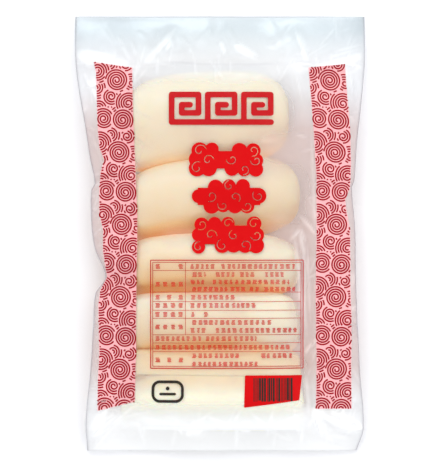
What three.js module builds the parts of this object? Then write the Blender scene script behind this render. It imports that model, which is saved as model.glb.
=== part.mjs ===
// A clear plastic bag of six steamed silver thread rolls, lying on its back with the printed side up.
// The film is one thin skin drawn close round the food, so the bag is one closed solid out to that skin:
// it bulges over each roll, dips between them, and runs out into a flat fin at each end.
// X runs across the bag, Y from the bottom seal to the top seal, and Z up from the table. Millimetres.
import * as THREE from "three";

// The bag, with the food inside
const BAG_LENGTH = 270; // from seal edge to seal edge
const TOP_FIN = 30; // where both films lie together beyond the food, the seal included
const BOTTOM_FIN = 12.5;
const FIN_FILM = 1.0; // thickness of the fins and the side folds, where the two films meet
const FOLD_HEIGHT = 20; // the side folds above the table, beside the food
const TOP_FIN_RISE = { seal: 5, root: 17 }; // the fin above the table, at its two edges
const BOTTOM_FIN_RISE = { seal: 7, root: 13 };
const FIN_WAVE = { height: 1.5, length: 71, shift: 12 }; // the slow ripple across each fin
const FIN_DROOP = 2.5; // how much lower the fins' corners lie than their middle

// The side folds in plan, from the top seal to the bottom seal: [distance along Y, distance along X].
const LEFT_FOLD = [
  [135, -90],
  [113, -90],
  [92, -88],
  [65, -83.3],
  [48, -80.8],
  [31, -77.6],
  [27, -79.7],
  [7, -79.7],
  [-9, -77.6],
  [-27, -71],
  [-37, -77],
  [-55, -78.4],
  [-84, -80.2],
  [-116, -83.3],
  [-135, -82.5],
];
const RIGHT_FOLD = [
  [135, 90],
  [108, 90],
  [80, 87.6],
  [58, 85.1],
  [33, 83.3],
  [28, 81.8],
  [3, 83.8],
  [-29, 84.3],
  [-55, 85.3],
  [-86, 86.9],
  [-121, 89.3],
  [-135, 85],
];

// The food, top seal first. A roll is a long bun of oval section. lean tips its section up on the table,
// lifting the edge nearer the top seal, and turn swings it about the vertical. Both are in degrees.
const ROLLS = [
  { x: -8.6, y: 71.5, length: 101, wide: 60, thick: 42, lean: 4, turn: 1 },
  { x: -4.6, y: 21, length: 106, wide: 57, thick: 40, lean: 34, turn: 5 },
  { x: -5, y: -21.2, length: 107, wide: 54, thick: 38, lean: 58, turn: 1 },
  { x: -6.8, y: -56.2, length: 107, wide: 54, thick: 37, lean: 62, turn: 0 },
  { x: -2.5, y: -89, length: 103, wide: 48, thick: 34, lean: 68, turn: 1 },
  { x: -0.6, y: -105, length: 103, wide: 52, thick: 30, lean: 74, turn: -1 },
];
const ROLL_END_POWER = 3.4; // how square a roll's ends are: 2 is an ellipsoid
const FILM_GAP = 0.6; // between the food and the skin

// How the film hangs: taut between what holds it, the upper one drawn in a little over the food and the
// lower one pressed to the table. Both are curvatures of the free film, per millimetre.
const DRAWN_IN = 0.013;
const PRESSED_DOWN = 0.004;
const SETTLE_SWEEPS = 1200;

// Creases in the film: a ridge, or a furrow where the height is negative, from one point in plan to another.
const CREASES = [
  { from: [-28, 127], to: [-46, 107], width: 7, height: 1.6 },
  { from: [0, 120], to: [3, 110], width: 7, height: 1.4 },
  { from: [10, 120], to: [25, 109], width: 7, height: 1.5 },
  { from: [47, 126], to: [54, 108], width: 8, height: 1.8 },
  { from: [-89, 112], to: [-56, 104], width: 9, height: 3.2 },
  { from: [88, 110], to: [54, 102], width: 9, height: 2.6 },
  { from: [-83, -128], to: [-68, -106], width: 8, height: 3.0 },
  { from: [-20, -125], to: [-15, -119], width: 7, height: 1.6 },
  { from: [63, -125], to: [57, -110], width: 7, height: 2.4 },
  { from: [86, -123], to: [60, -112], width: 7, height: 2.6 },
  { from: [-79, 30], to: [-62, 34], width: 8, height: -2.6 },
  { from: [-71, -27], to: [-58, -30], width: 9, height: -3.0 },
  { from: [82, 29], to: [58, 31], width: 8, height: -2.6 },
  { from: [46, -2], to: [53, -60], width: 8, height: 2.2 },
];

// The grid that the skin is drawn on
const CELLS_ACROSS = 40;
const TOP_FIN_CELLS = 6;
const FREE_CELLS = 50;
const BOTTOM_FIN_CELLS = 3;

const TOP_ROOT = BAG_LENGTH / 2 - TOP_FIN;
const BOTTOM_ROOT = -BAG_LENGTH / 2 + BOTTOM_FIN;

/** A smooth line through stations listed from the top seal down, read at y. */
function foldAt(stations, y) {
  let k = 1;
  while (k < stations.length - 1 && stations[k][0] > y) k++;
  const [before, start, end, after] = [k - 2, k - 1, k, k + 1].map(
    (n) => stations[THREE.MathUtils.clamp(n, 0, stations.length - 1)],
  );
  const step = end[0] - start[0];
  const slope = (a, b) => ((b[1] - a[1]) / (b[0] - a[0])) * step;
  const t = (y - start[0]) / step;
  const t2 = t * t;
  const t3 = t2 * t;
  return (
    start[1] * (2 * t3 - 3 * t2 + 1) +
    slope(before, end) * (t3 - 2 * t2 + t) +
    end[1] * (3 * t2 - 2 * t3) +
    slope(start, after) * (t3 - t2)
  );
}

/** Half of how tall a roll's leaning oval section stands. */
function halfStand(roll) {
  const lean = THREE.MathUtils.degToRad(roll.lean);
  return Math.hypot((roll.wide / 2) * Math.sin(lean), (roll.thick / 2) * Math.cos(lean));
}

/** The top and bottom of a roll at a point in plan, or null where the roll isn't there. */
function rollSpan(roll, x, y) {
  const turn = THREE.MathUtils.degToRad(roll.turn);
  const along = (x - roll.x) * Math.cos(turn) + (y - roll.y) * Math.sin(turn);
  const across = (y - roll.y) * Math.cos(turn) - (x - roll.x) * Math.sin(turn);
  const toEnd = Math.abs(along) / (roll.length / 2);
  if (toEnd >= 1) return null;
  const share = (1 - toEnd ** ROLL_END_POWER) ** (1 / ROLL_END_POWER);
  const wide = 1 / ((roll.wide / 2) * share) ** 2;
  const thick = 1 / ((roll.thick / 2) * share) ** 2;
  const sine = Math.sin(THREE.MathUtils.degToRad(roll.lean));
  const cosine = Math.cos(THREE.MathUtils.degToRad(roll.lean));
  // The leaning oval is a up^2 + 2 b up across + c across^2 = 1, up being measured from its middle.
  const a = sine * sine * wide + cosine * cosine * thick;
  const b = sine * cosine * (wide - thick);
  const c = cosine * cosine * wide + sine * sine * thick;
  const inside = (b * across) ** 2 - a * (c * across * across - 1);
  if (inside <= 0) return null;
  const middle = halfStand(roll) + FILM_GAP - (b * across) / a;
  return { top: middle + Math.sqrt(inside) / a, bottom: middle - Math.sqrt(inside) / a };
}

/** How high the food holds the upper film at a point in plan, and how low it holds the lower one. */
function foodSpan(x, y) {
  const spans = ROLLS.map((roll) => rollSpan(roll, x, y)).filter(Boolean);
  return {
    top: Math.max(0, ...spans.map((span) => span.top + FILM_GAP)),
    bottom: Math.min(FOLD_HEIGHT, ...spans.map((span) => Math.max(0, span.bottom - FILM_GAP))),
  };
}

/** The middle of the film where both films lie together: the fins, and the side folds between them. */
function seamHeight(x, y) {
  const ripple = FIN_WAVE.height * Math.cos((2 * Math.PI * (x + FIN_WAVE.shift)) / FIN_WAVE.length);
  const droop = FIN_DROOP * (x / (BAG_LENGTH / 3)) ** 2;
  const rise = y > 0 ? TOP_FIN_RISE : BOTTOM_FIN_RISE;
  const fin = y > 0 ? TOP_FIN : BOTTOM_FIN;
  const fromSeal = BAG_LENGTH / 2 - Math.abs(y);
  const inFin = Math.min(1, fromSeal / fin);
  const beside = THREE.MathUtils.smoothstep(fromSeal, fin, fin + 45);
  const finHeight = THREE.MathUtils.lerp(rise.seal, rise.root, inFin ** 1.5) - droop + ripple;
  return THREE.MathUtils.lerp(finHeight, FOLD_HEIGHT, beside);
}

/** What a crease adds to the film at a point in plan. */
function creaseHeight(crease, x, y) {
  const [x0, y0] = crease.from;
  const [x1, y1] = crease.to;
  const length = Math.hypot(x1 - x0, y1 - y0);
  const along = ((x - x0) * (x1 - x0) + (y - y0) * (y1 - y0)) / length ** 2;
  const aside = ((x - x0) * (y1 - y0) - (y - y0) * (x1 - x0)) / length;
  const grow = THREE.MathUtils.smoothstep(along, -0.2, 0.3);
  const fade = 1 - THREE.MathUtils.smoothstep(along, 0.7, 1.2);
  return crease.height * grow * fade * Math.exp(-(((2 * aside) / crease.width) ** 2));
}

/** The grid's lines along Y, from the bottom seal's edge to the top seal's. */
function rowsAlong() {
  const spans = [
    [-BAG_LENGTH / 2, BOTTOM_ROOT, BOTTOM_FIN_CELLS],
    [BOTTOM_ROOT, TOP_ROOT, FREE_CELLS],
    [TOP_ROOT, BAG_LENGTH / 2, TOP_FIN_CELLS],
  ];
  const rows = spans.flatMap(([start, end, cells]) =>
    Array.from({ length: cells }, (_, k) => start + ((end - start) * k) / cells),
  );
  return [...rows, BAG_LENGTH / 2];
}

/** Both films on the grid: rows of points { x, y, top, bottom, held, food }, before they settle. */
function flatFilms() {
  return rowsAlong().map((y) => {
    const left = foldAt(LEFT_FOLD, y);
    const right = foldAt(RIGHT_FOLD, y);
    const inFin = y >= TOP_ROOT || y <= BOTTOM_ROOT;
    return Array.from({ length: CELLS_ACROSS + 1 }, (_, i) => {
      const x = left + ((right - left) * i) / CELLS_ACROSS;
      const seam = seamHeight(x, y);
      return {
        x,
        y,
        top: seam + FIN_FILM / 2,
        bottom: seam - FIN_FILM / 2,
        held: inFin || i === 0 || i === CELLS_ACROSS,
        food: foodSpan(x, y),
      };
    });
  });
}

/** One sweep: each free point goes below its neighbours' mean as the film is pulled, and stays off the food. */
function settleOnce(rows) {
  for (let j = 1; j < rows.length - 1; j++) {
    for (let i = 1; i < CELLS_ACROSS; i++) {
      const here = rows[j][i];
      if (here.held) continue;
      const [west, east] = [rows[j][i - 1], rows[j][i + 1]];
      const [south, north] = [rows[j - 1][i], rows[j + 1][i]];
      const across = 4 / (east.x - west.x) ** 2;
      const along = 4 / (north.y - south.y) ** 2;
      const total = 2 * (across + along);
      const top = (across * (west.top + east.top) + along * (south.top + north.top)) / total;
      const bottom = (across * (west.bottom + east.bottom) + along * (south.bottom + north.bottom)) / total;
      here.bottom = THREE.MathUtils.clamp(bottom - (2 * PRESSED_DOWN) / total, 0, here.food.bottom);
      here.top = Math.max(top - (2 * DRAWN_IN) / total, here.food.top, here.bottom + FIN_FILM);
    }
  }
}

/** Adds the creases. The lower film follows them only as far as it is off the table. */
function crease(rows) {
  for (const here of rows.flat()) {
    const added = CREASES.reduce((sum, one) => sum + creaseHeight(one, here.x, here.y), 0);
    const loose = THREE.MathUtils.clamp(here.bottom / 4, 0, 1);
    here.top += added;
    here.bottom = Math.max(0, here.bottom + added * loose);
    here.top = Math.max(here.top, here.bottom + FIN_FILM);
  }
}

/** The closed solid between the two films. */
function bagGeometry() {
  const rows = flatFilms();
  for (let sweep = 0; sweep < SETTLE_SWEEPS; sweep++) settleOnce(rows);
  crease(rows);

  const points = rows.flat();
  const position = [
    ...points.flatMap((here) => [here.x, here.y, here.top]),
    ...points.flatMap((here) => [here.x, here.y, here.bottom]),
  ];
  const index = [];
  const quad = (a, b, c, d) => index.push(a, b, c, a, c, d);
  const columns = CELLS_ACROSS + 1;
  for (let j = 0; j < rows.length - 1; j++) {
    for (let i = 0; i < CELLS_ACROSS; i++) {
      const corner = j * columns + i;
      const ring = [corner, corner + 1, corner + columns + 1, corner + columns];
      quad(...ring);
      quad(...ring.map((n) => n + points.length).reverse());
    }
  }

  // The rim: a narrow wall all round, where the films are welded or folded.
  const rim = [];
  for (let i = 0; i < CELLS_ACROSS; i++) rim.push(i);
  for (let j = 0; j < rows.length - 1; j++) rim.push(j * columns + CELLS_ACROSS);
  for (let i = CELLS_ACROSS; i > 0; i--) rim.push((rows.length - 1) * columns + i);
  for (let j = rows.length - 1; j > 0; j--) rim.push(j * columns);
  rim.forEach((here, n) => {
    const next = rim[(n + 1) % rim.length];
    quad(here + points.length, next + points.length, next, here);
  });

  const geometry = new THREE.BufferGeometry();
  geometry.setAttribute("position", new THREE.Float32BufferAttribute(position, 3));
  geometry.setIndex(index);
  geometry.computeVertexNormals();
  return geometry;
}

const filmOverFood = new THREE.MeshStandardMaterial({ color: 0xf3e6cf, roughness: 0.25, metalness: 0 });
const bag = new THREE.Mesh(bagGeometry(), filmOverFood);
bag.name = "bag_of_rolls";

const pack = new THREE.Group();
pack.name = "pack";
pack.add(bag);

export default pack;
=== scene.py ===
"""A sealed clear bag of six steamed silver thread rolls, lying on its back with the printed side up.

The film is draped over the rolls by settling two taut sheets on a grid. The rolls come from a Geometry Nodes
tree and are then pressed flat where they touch. The print is drawn flat and laid on the film from above.
Sizes are in millimetres, and meshes in metres.
"""
import logging
import math
import random
from collections.abc import Callable, Sequence
from dataclasses import dataclass, field, replace
from enum import Enum
from typing import Any

import bmesh
import bpy
import numpy as np
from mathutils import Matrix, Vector


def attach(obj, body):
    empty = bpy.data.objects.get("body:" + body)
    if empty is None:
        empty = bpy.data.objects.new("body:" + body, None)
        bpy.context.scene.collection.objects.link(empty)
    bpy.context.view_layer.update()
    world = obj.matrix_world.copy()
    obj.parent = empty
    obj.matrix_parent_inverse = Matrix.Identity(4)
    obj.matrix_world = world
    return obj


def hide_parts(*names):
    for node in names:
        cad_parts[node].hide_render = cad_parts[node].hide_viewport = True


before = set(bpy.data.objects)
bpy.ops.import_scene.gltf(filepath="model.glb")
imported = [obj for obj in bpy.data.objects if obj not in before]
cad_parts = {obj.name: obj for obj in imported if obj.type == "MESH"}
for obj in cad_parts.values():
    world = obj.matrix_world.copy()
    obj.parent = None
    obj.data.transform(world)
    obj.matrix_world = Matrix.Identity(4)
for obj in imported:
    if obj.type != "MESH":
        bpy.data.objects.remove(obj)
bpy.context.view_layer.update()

MM = 0.001
NODE = "bag_of_rolls"
BODY = "root"

log = logging.getLogger("bag")

Array = np.ndarray
Point = tuple[float, float]
Colour = tuple[float, float, float, float]
Drawing = tuple[Array, list[list[int]]]
Run = tuple[list[Point], float]
Settings = dict[str, Any] | None
Inputs = dict[Any, Any] | None
Object = bpy.types.Object
Material = bpy.types.Material


class Slot(Enum):
    """The record's material slots, which the pieces are paired with."""

    FILM = "clear_film"
    DOUGH = "steamed_dough"
    RED = "red_print"
    DARK = "dark_print"


class Side(Enum):
    """The two side folds of the bag."""

    LEFT = -1
    RIGHT = 1


def colour(red: float, green: float, blue: float) -> Colour:
    """A colour seen on screen, from 0 to 255 a channel, as the linear colour that a shader takes."""
    shares = [channel / 255 for channel in (red, green, blue)]
    return *(share / 12.92 if share <= 0.04045 else ((share + 0.055) / 1.055) ** 2.4 for share in shares), 1.0


class Signal:
    """An output socket that Python's operators work on: each adds the Math node that it stands for."""

    def __init__(self, tree: "Tree", socket: bpy.types.NodeSocket) -> None:
        """Wraps an output socket of a tree."""
        self.tree = tree
        self.socket = socket

    def math(self, operation: str, *others: Any) -> "Signal":
        """This signal first in a Math node, with the others after it."""
        return self.tree.math(operation, self, *others)

    def __add__(self, other: Any) -> "Signal":
        """self + other."""
        return self.math("ADD", other)

    def __radd__(self, other: Any) -> "Signal":
        """other + self."""
        return self.tree.math("ADD", other, self)

    def __sub__(self, other: Any) -> "Signal":
        """self - other."""
        return self.math("SUBTRACT", other)

    def __rsub__(self, other: Any) -> "Signal":
        """other - self."""
        return self.tree.math("SUBTRACT", other, self)

    def __mul__(self, other: Any) -> "Signal":
        """self * other."""
        return self.math("MULTIPLY", other)

    def __rmul__(self, other: Any) -> "Signal":
        """other * self."""
        return self.tree.math("MULTIPLY", other, self)

    def __truediv__(self, other: Any) -> "Signal":
        """self / other."""
        return self.math("DIVIDE", other)

    def __rtruediv__(self, other: Any) -> "Signal":
        """other / self."""
        return self.tree.math("DIVIDE", other, self)

    def __pow__(self, other: Any) -> "Signal":
        """self ** other."""
        return self.math("POWER", other)

    def clamped(self) -> "Signal":
        """This signal kept from 0 to 1."""
        return self.math("MAXIMUM", 0.0).math("MINIMUM", 1.0)


class Tree:
    """A node tree, for a material or for Geometry Nodes, that is filled by method calls."""

    def __init__(self, tree: bpy.types.NodeTree) -> None:
        """Wraps Blender's own node tree."""
        self.tree = tree

    def node(self, kind: str, settings: Settings = None, inputs: Inputs = None) -> Any:
        """Adds a node.

        Args:
            kind: The node's type name.
            settings: Its own settings, set first. "stops" is a ramp's list of (place, colour).
            inputs: What each input takes, by name or number: a value, or a signal that feeds it.

        Returns:
            The node.
        """
        node = self.tree.nodes.new(kind)
        for name, value in (settings or {}).items():
            if name == "stops":
                self._set_stops(node.color_ramp, value)
            else:
                setattr(node, name, value)
        for name, value in (inputs or {}).items():
            if isinstance(value, Signal):
                self.tree.links.new(value.socket, node.inputs[name])
            else:
                node.inputs[name].default_value = value
        return node

    def get(self, kind: str, output: Any = 0, settings: Settings = None, inputs: Inputs = None) -> Signal:
        """Adds a node as node does, and gives one of its outputs, by name or number, as a signal."""
        return Signal(self, self.node(kind, settings, inputs).outputs[output])

    def math(self, operation: str, *values: Any) -> Signal:
        """A Math node's result for these values."""
        return self.get("ShaderNodeMath", 0, {"operation": operation}, dict(enumerate(values)))

    def mix(self, share: Any, first: Any, second: Any) -> Signal:
        """Two colours mixed, from the first at 0 to the second at 1."""
        return self.get("ShaderNodeMix", 2, {"data_type": "RGBA"}, {0: share, 6: first, 7: second})

    def noise(self, vector: Signal, scale: float, detail: float = 2.0, distortion: float = 0.0) -> Signal:
        """A noise from 0 to 1 on a vector, whose scale is in cells a metre."""
        inputs = {"Vector": vector, "Scale": scale, "Detail": detail, "Distortion": distortion}
        return self.get("ShaderNodeTexNoise", "Fac", None, inputs)

    def attribute(self, name: str) -> Signal:
        """A number stored on the mesh's points, in a material."""
        return self.get("ShaderNodeAttribute", "Fac", {"attribute_name": name})

    def vector(self, operation: str, first: Any, second: Any) -> Signal:
        """Two vectors' result in a Vector Math node."""
        return self.get("ShaderNodeVectorMath", 0, {"operation": operation}, {0: first, 1: second})

    def combined(self, *parts: Any) -> Signal:
        """A vector of up to three numbers."""
        return self.get("ShaderNodeCombineXYZ", 0, None, dict(enumerate(parts)))

    def bump(self, height: Signal, strength: float, reach: float) -> Signal:
        """A normal that a height bends, by up to reach metres."""
        inputs = {"Strength": strength, "Distance": reach, "Height": height}
        return self.get("ShaderNodeBump", 0, None, inputs)

    def principled(self, inputs: Inputs) -> Signal:
        """A Principled shader with these inputs."""
        return self.get("ShaderNodeBsdfPrincipled", 0, None, inputs)

    def ramp(self, share: Signal, stops: Sequence[tuple[float, Colour]]) -> Signal:
        """A colour ramp's colour at a share from 0 to 1."""
        return self.get("ShaderNodeValToRGB", 0, {"stops": stops}, {0: share})

    def surface(self, shader: Signal) -> None:
        """Ends a material in this shader."""
        self.node("ShaderNodeOutputMaterial", None, {"Surface": shader})

    @staticmethod
    def _set_stops(ramp: bpy.types.ColorRamp, stops: Sequence[tuple[float, Colour]]) -> None:
        """Sets a ramp's stops.

        Args:
            ramp: The ramp.
            stops: Each stop's place and colour.
        """
        while len(ramp.elements) < len(stops):
            ramp.elements.new(1.0)
        for element, (place, value) in zip(ramp.elements, stops):
            element.position = place
            element.color = value


def new_material(name: str) -> tuple[Material, Tree]:
    """An empty node material.

    Args:
        name: Its name.

    Returns:
        The material and its tree.
    """
    material = bpy.data.materials.new(name)
    material.use_nodes = True
    material.node_tree.nodes.clear()
    return material, Tree(material.node_tree)


@dataclass(frozen=True)
class ClearFilm:
    """The bag's clear film: mirror-like at a glance, milky where it hangs loose, with white painted
    highlights along creases, grey painted shade along folds and at a slant, and a faint painted glow.

    veils are the milky film's colours, each with its place from the bottom seal at 0 to the top one at 1; the
    pinkish grey between the seals is partly painted shade and bounced light. slant_shade is the grey painted
    shade that it takes where it is seen at a slant, which the painted light by the seals clears away. Scales
    are in cells a metre.
    """

    name: str = "clear_film"
    length: float = 270 * MM
    see: Colour = colour(252, 252, 253)
    # The pinkish grey between the seals is partly painted shade and bounced light.
    veils: tuple[tuple[float, Colour], ...] = (
        (0.12, colour(248, 249, 248)), (0.2, colour(223, 199, 192)), (0.74, colour(223, 199, 192)),
        (0.83, colour(246, 248, 248)), (0.9, colour(246, 248, 248)), (0.97, colour(210, 224, 227)))
    # White painted highlight along creases and bright facets.
    crease: Colour = colour(248, 249, 248)
    # Grey painted shade where the film is seen at a slant.
    slant_shade: Colour = colour(168, 166, 178)
    steep_share: float = 0.8
    steep_slope: float = 2.6
    steep_start: float = 1.3
    # How much the painted light by the seals clears the grey painted shade at a slant.
    milk_clears: float = 1.4
    # Grey painted shade along the folds, the cut ends and the grey streaks.
    fold_shade: Colour = colour(150, 148, 156)
    head_on: float = 0.05
    glancing: float = 0.9
    glance_power: float = 4.0
    loose_haze: float = 0.42
    least_cloud: float = 0.55
    cloud_swing: float = 0.9
    cloud_scale: float = 26.0
    patch_haze: float = 0.09
    patch_scale: float = 34.0
    patch_slope: float = 8.0
    patch_start: float = 4.4
    fold_shade_share: float = 0.5
    crease_highlight_share: float = 0.7
    metallic: float = 0.3
    roughness: float = 0.28
    # A faint painted glow: the film gives off its own colour as light, brightening it where it lies in shade.
    painted_glow: float = 0.06
    ripple_scale: float = 150.0
    ripple_height: float = 0.0005
    ripple_strength: float = 0.4

    def material(self) -> Material:
        """The film's material: light goes straight through except for a share that the film sends back.

        Returns:
            The material.
        """
        material, tree = new_material(self.name)
        place = tree.get("ShaderNodeTexCoord", "Object")
        facing = tree.get("ShaderNodeLayerWeight", "Facing", None, {"Blend": 0.5})
        creased, loose, folded, milk = map(tree.attribute, ("crease", "loose", "folded", "milk"))
        mirror = self.head_on + (self.glancing - self.head_on) * facing ** self.glance_power
        cloud = tree.noise(place, self.cloud_scale, detail=3.0)
        patches = tree.noise(place, self.patch_scale, detail=1.0, distortion=0.4)
        patch = (self.patch_slope * patches - self.patch_start).clamped()
        haze = self.loose_haze * loose * (self.least_cloud + self.cloud_swing * cloud)
        # The veil: the film's own milkiness, with painted light by the seals and the grey painted shade of
        # folds.
        veil = haze.math("MAXIMUM", milk) + self.patch_haze * patch + self.fold_shade_share * folded
        up_the_bag = tree.get("ShaderNodeSeparateXYZ", 1, None, {0: place}) / self.length + 0.5
        # The veils' colours, with white painted highlights along creases and streaks.
        base = tree.mix(creased, tree.ramp(up_the_bag, self.veils), self.crease)
        # Grey painted shade and dark reflection where the film is seen at a slant, cleared by painted light
        # by the seals.
        slant_shade = (self.steep_slope * facing - self.steep_start).clamped()
        clear = (1.0 - self.milk_clears * milk).clamped()
        base = tree.mix(slant_shade * clear * self.steep_share, base, self.slant_shade)
        # Grey painted shade along the folds, the cut ends and the grey streaks.
        base = tree.mix(folded, base, self.fold_shade)
        ripple = tree.noise(place, self.ripple_scale, distortion=0.6)
        sent_back = tree.principled({
            "Base Color": base,
            "Metallic": self.metallic,
            "Roughness": self.roughness,
            # The film's faint painted glow.
            "Emission Color": base,
            "Emission Strength": self.painted_glow,
            "Normal": tree.bump(ripple, self.ripple_strength, self.ripple_height),
        })
        through = tree.get("ShaderNodeBsdfTransparent", 0, None, {"Color": self.see})
        share = (mirror + veil + self.crease_highlight_share * creased).clamped()
        tree.surface(tree.get("ShaderNodeMixShader", 0, None, {0: share, 1: through, 2: sent_back}))
        return material


@dataclass(frozen=True)
class SteamedDough:
    """The rolls' skin: cream white and satin, with painted shade that turns it warm and dark in the hollows
    between rolls, and fine pits.

    tones are its colours, from its own cream at 0 to the warm, dark painted shade of the deepest hollows at
    1.
    through is painted light: a glow that shines out of the grooves between rolls. Scales are in cells a
    metre.
    """

    name: str = "steamed_dough"
    # From the dough's own cream at 0 to the warm, dark painted shade of the hollows at 1.
    tones: tuple[tuple[float, Colour], ...] = (
        (0.0, colour(244, 240, 214)), (0.1, colour(234, 227, 202)), (0.3, colour(233, 213, 178)),
        (0.6, colour(229, 188, 132)), (1.0, colour(206, 138, 66)))
    # Painted shade: the colour that darkens each roll towards its right end, where it curves down.
    dull: Colour = colour(196, 178, 150)
    end_shade_share: float = 0.4
    # Painted light: a glow of this colour shines out of the grooves between rolls, where they lie in shade.
    through: Colour = colour(208, 162, 112)
    painted_glow: float = 0.28
    mottle: float = 0.14
    mottle_scale: float = 55.0
    scatter: float = 0.5
    scatter_depth: float = 6 * MM
    scatter_reach: tuple[float, float, float] = (1.0, 0.55, 0.3)
    specular: float = 0.35
    least_roughness: float = 0.5
    pit_roughness: float = 0.15
    pit_share: float = 0.35
    pit_scale: float = 900.0
    lump_scale: float = 140.0
    bump_height: float = 0.0006
    bump_strength: float = 0.3

    def material(self) -> Material:
        """The dough's material, with painted shade from numbers on its points, which follow how deep each
        point lies below the film and which way it faces.

        Returns:
            The material.
        """
        material, tree = new_material(self.name)
        place = tree.get("ShaderNodeTexCoord", "Object")
        mottled = self.mottle * (tree.noise(place, self.mottle_scale, detail=4.0) - 0.5)
        # Painted shade: warm and dark in the hollows and on the lower flanks, over the dough's own cream.
        base = tree.ramp((tree.attribute("depth") + mottled).clamped(), self.tones)
        # Painted shade darkens each roll towards its right end.
        base = tree.mix(self.end_shade_share * tree.attribute("dull"), base, self.dull)
        pits = tree.noise(place, self.pit_scale, detail=3.0)
        height = self.pit_share * pits + tree.noise(place, self.lump_scale, detail=3.0)
        tree.surface(tree.principled({
            "Base Color": base,
            "Roughness": self.least_roughness + self.pit_roughness * pits,
            "Subsurface Weight": self.scatter,
            "Subsurface Radius": self.scatter_reach,
            "Subsurface Scale": self.scatter_depth,
            "Specular IOR Level": self.specular,
            # Painted glow in the grooves between rolls, by how deep each point lies in one.
            "Emission Color": tree.mix(tree.attribute("groove"), colour(0, 0, 0), self.through),
            "Emission Strength": self.painted_glow,
            "Normal": tree.bump(height, self.bump_strength, self.bump_height),
        }))
        return material


@dataclass(frozen=True)
class PrintInk:
    """Ink on the film, slightly uneven in density, with the film's own gloss. Scales are in cells a metre."""

    name: str
    full: Colour
    thin: Colour
    cover: float = 0.998
    roughness: float = 0.5
    specular: float = 0.08
    patch_share: float = 0.7
    patch_scale: float = 160.0
    grain_share: float = 0.5
    grain_scale: float = 1600.0
    thin_start: float = 0.2
    bump_height: float = 0.0002
    bump_strength: float = 0.2

    def material(self) -> Material:
        """The ink's material.

        Returns:
            The material.
        """
        material, tree = new_material(self.name)
        place = tree.get("ShaderNodeTexCoord", "Object")
        patches = tree.noise(place, self.patch_scale, detail=3.0)
        grain = tree.noise(place, self.grain_scale)
        thinned = (self.patch_share * patches + self.grain_share * grain - self.thin_start).clamped()
        tree.surface(tree.principled({
            "Base Color": tree.mix(thinned, self.full, self.thin),
            "Roughness": self.roughness,
            "Alpha": self.cover,
            "Specular IOR Level": self.specular,
            "Normal": tree.bump(grain, self.bump_strength, self.bump_height),
        }))
        return material


def store_numbers(mesh: bpy.types.Mesh, numbers: dict[str, Array]) -> None:
    """Stores numbers on a mesh's points, one for each point, by name."""
    for name, values in numbers.items():
        mesh.attributes.new(name, "FLOAT", "POINT").data.foreach_set("value", np.asarray(values, np.float32))


def point_values(points: bpy.types.MeshVertices, name: str) -> Array:
    """A vector of each point of a mesh, as rows.

    Args:
        points: The mesh's points.
        name: Which of their vectors: "co" or "normal".

    Returns:
        One row for each point.
    """
    values = np.empty(len(points) * 3, np.float32)
    points.foreach_get(name, values)
    return values.reshape(-1, 3)


def mesh_object(name: str, points: Array, faces: Sequence[Sequence[int]], edges: Sequence[Sequence[int]] = (),
                numbers: dict[str, Array] | None = None) -> Object:
    """A mesh object at the origin.

    Args:
        name: The object's name.
        points: The points, in millimetres.
        faces: Each face's points.
        edges: Edges without faces.
        numbers: Named numbers to store on the points.

    Returns:
        The object, in the scene.
    """
    mesh = bpy.data.meshes.new(name)
    mesh.from_pydata((np.asarray(points, float) * MM).tolist(), edges, faces)
    store_numbers(mesh, numbers or {})
    mesh.shade_smooth()
    obj = bpy.data.objects.new(name, mesh)
    bpy.context.scene.collection.objects.link(obj)
    return obj


def geometry_tree(name: str, inputs: Sequence[tuple[str, str, Any]]) -> tuple[Tree, dict[str, Signal]]:
    """A Geometry Nodes tree with a geometry input and output, and named inputs.

    Args:
        name: The tree's name.
        inputs: Each further input's name, its socket type after "NodeSocket", and its default or None.

    Returns:
        The tree and its inputs as signals, by name. The geometry is "Geometry".
    """
    group = bpy.data.node_groups.new(name, "GeometryNodeTree")
    group.interface.new_socket(name="Geometry", in_out="OUTPUT", socket_type="NodeSocketGeometry")
    group.interface.new_socket(name="Geometry", in_out="INPUT", socket_type="NodeSocketGeometry")
    for label, kind, default in inputs:
        socket = group.interface.new_socket(name=label, in_out="INPUT", socket_type="NodeSocket" + kind)
        if default is not None:
            socket.default_value = default
    tree = Tree(group)
    entry = tree.node("NodeGroupInput")
    return tree, {socket.name: Signal(tree, socket) for socket in entry.outputs if socket.name}


def finish_tree(tree: Tree, geometry: Signal, material: Signal) -> None:
    """Ends a Geometry Nodes tree in Realize Instances and Set Material.

    Args:
        tree: The tree.
        geometry: What it makes.
        material: The material input.
    """
    real = tree.get("GeometryNodeRealizeInstances", 0, None, {"Geometry": geometry})
    painted = tree.get("GeometryNodeSetMaterial", 0, None, {"Geometry": real, "Material": material})
    tree.node("NodeGroupOutput", None, {"Geometry": painted})


def grown(source: Object, tree: Tree, values: dict[str, Any]) -> Object:
    """Runs a Geometry Nodes tree on an object and turns the result into its plain mesh.

    Args:
        source: The object that the tree starts from.
        tree: The tree.
        values: The modifier's inputs, by name.

    Returns:
        The same object with the tree's result as its mesh.
    """
    modifier = source.modifiers.new(tree.tree.name, "NODES")
    modifier.node_group = tree.tree
    for item in tree.tree.interface.items_tree:
        if item.in_out == "INPUT" and item.name in values:
            modifier[item.identifier] = values[item.name]
    evaluated = source.evaluated_get(bpy.context.evaluated_depsgraph_get())
    mesh = bpy.data.meshes.new_from_object(evaluated)
    source.modifiers.remove(modifier)
    old = source.data
    source.data = mesh
    bpy.data.meshes.remove(old)
    mesh.name = source.name
    for index in reversed([k for k, own in enumerate(mesh.materials) if own is None]):
        mesh.materials.pop(index=index)
    return source


def smoothstep(values: Array | float, low: float, high: float) -> Any:
    """0 below low, 1 above high, and a smooth rise between, in the shape of values."""
    share = np.clip((np.asarray(values, float) - low) / (high - low), 0.0, 1.0)
    return share * share * (3.0 - 2.0 * share)


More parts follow.
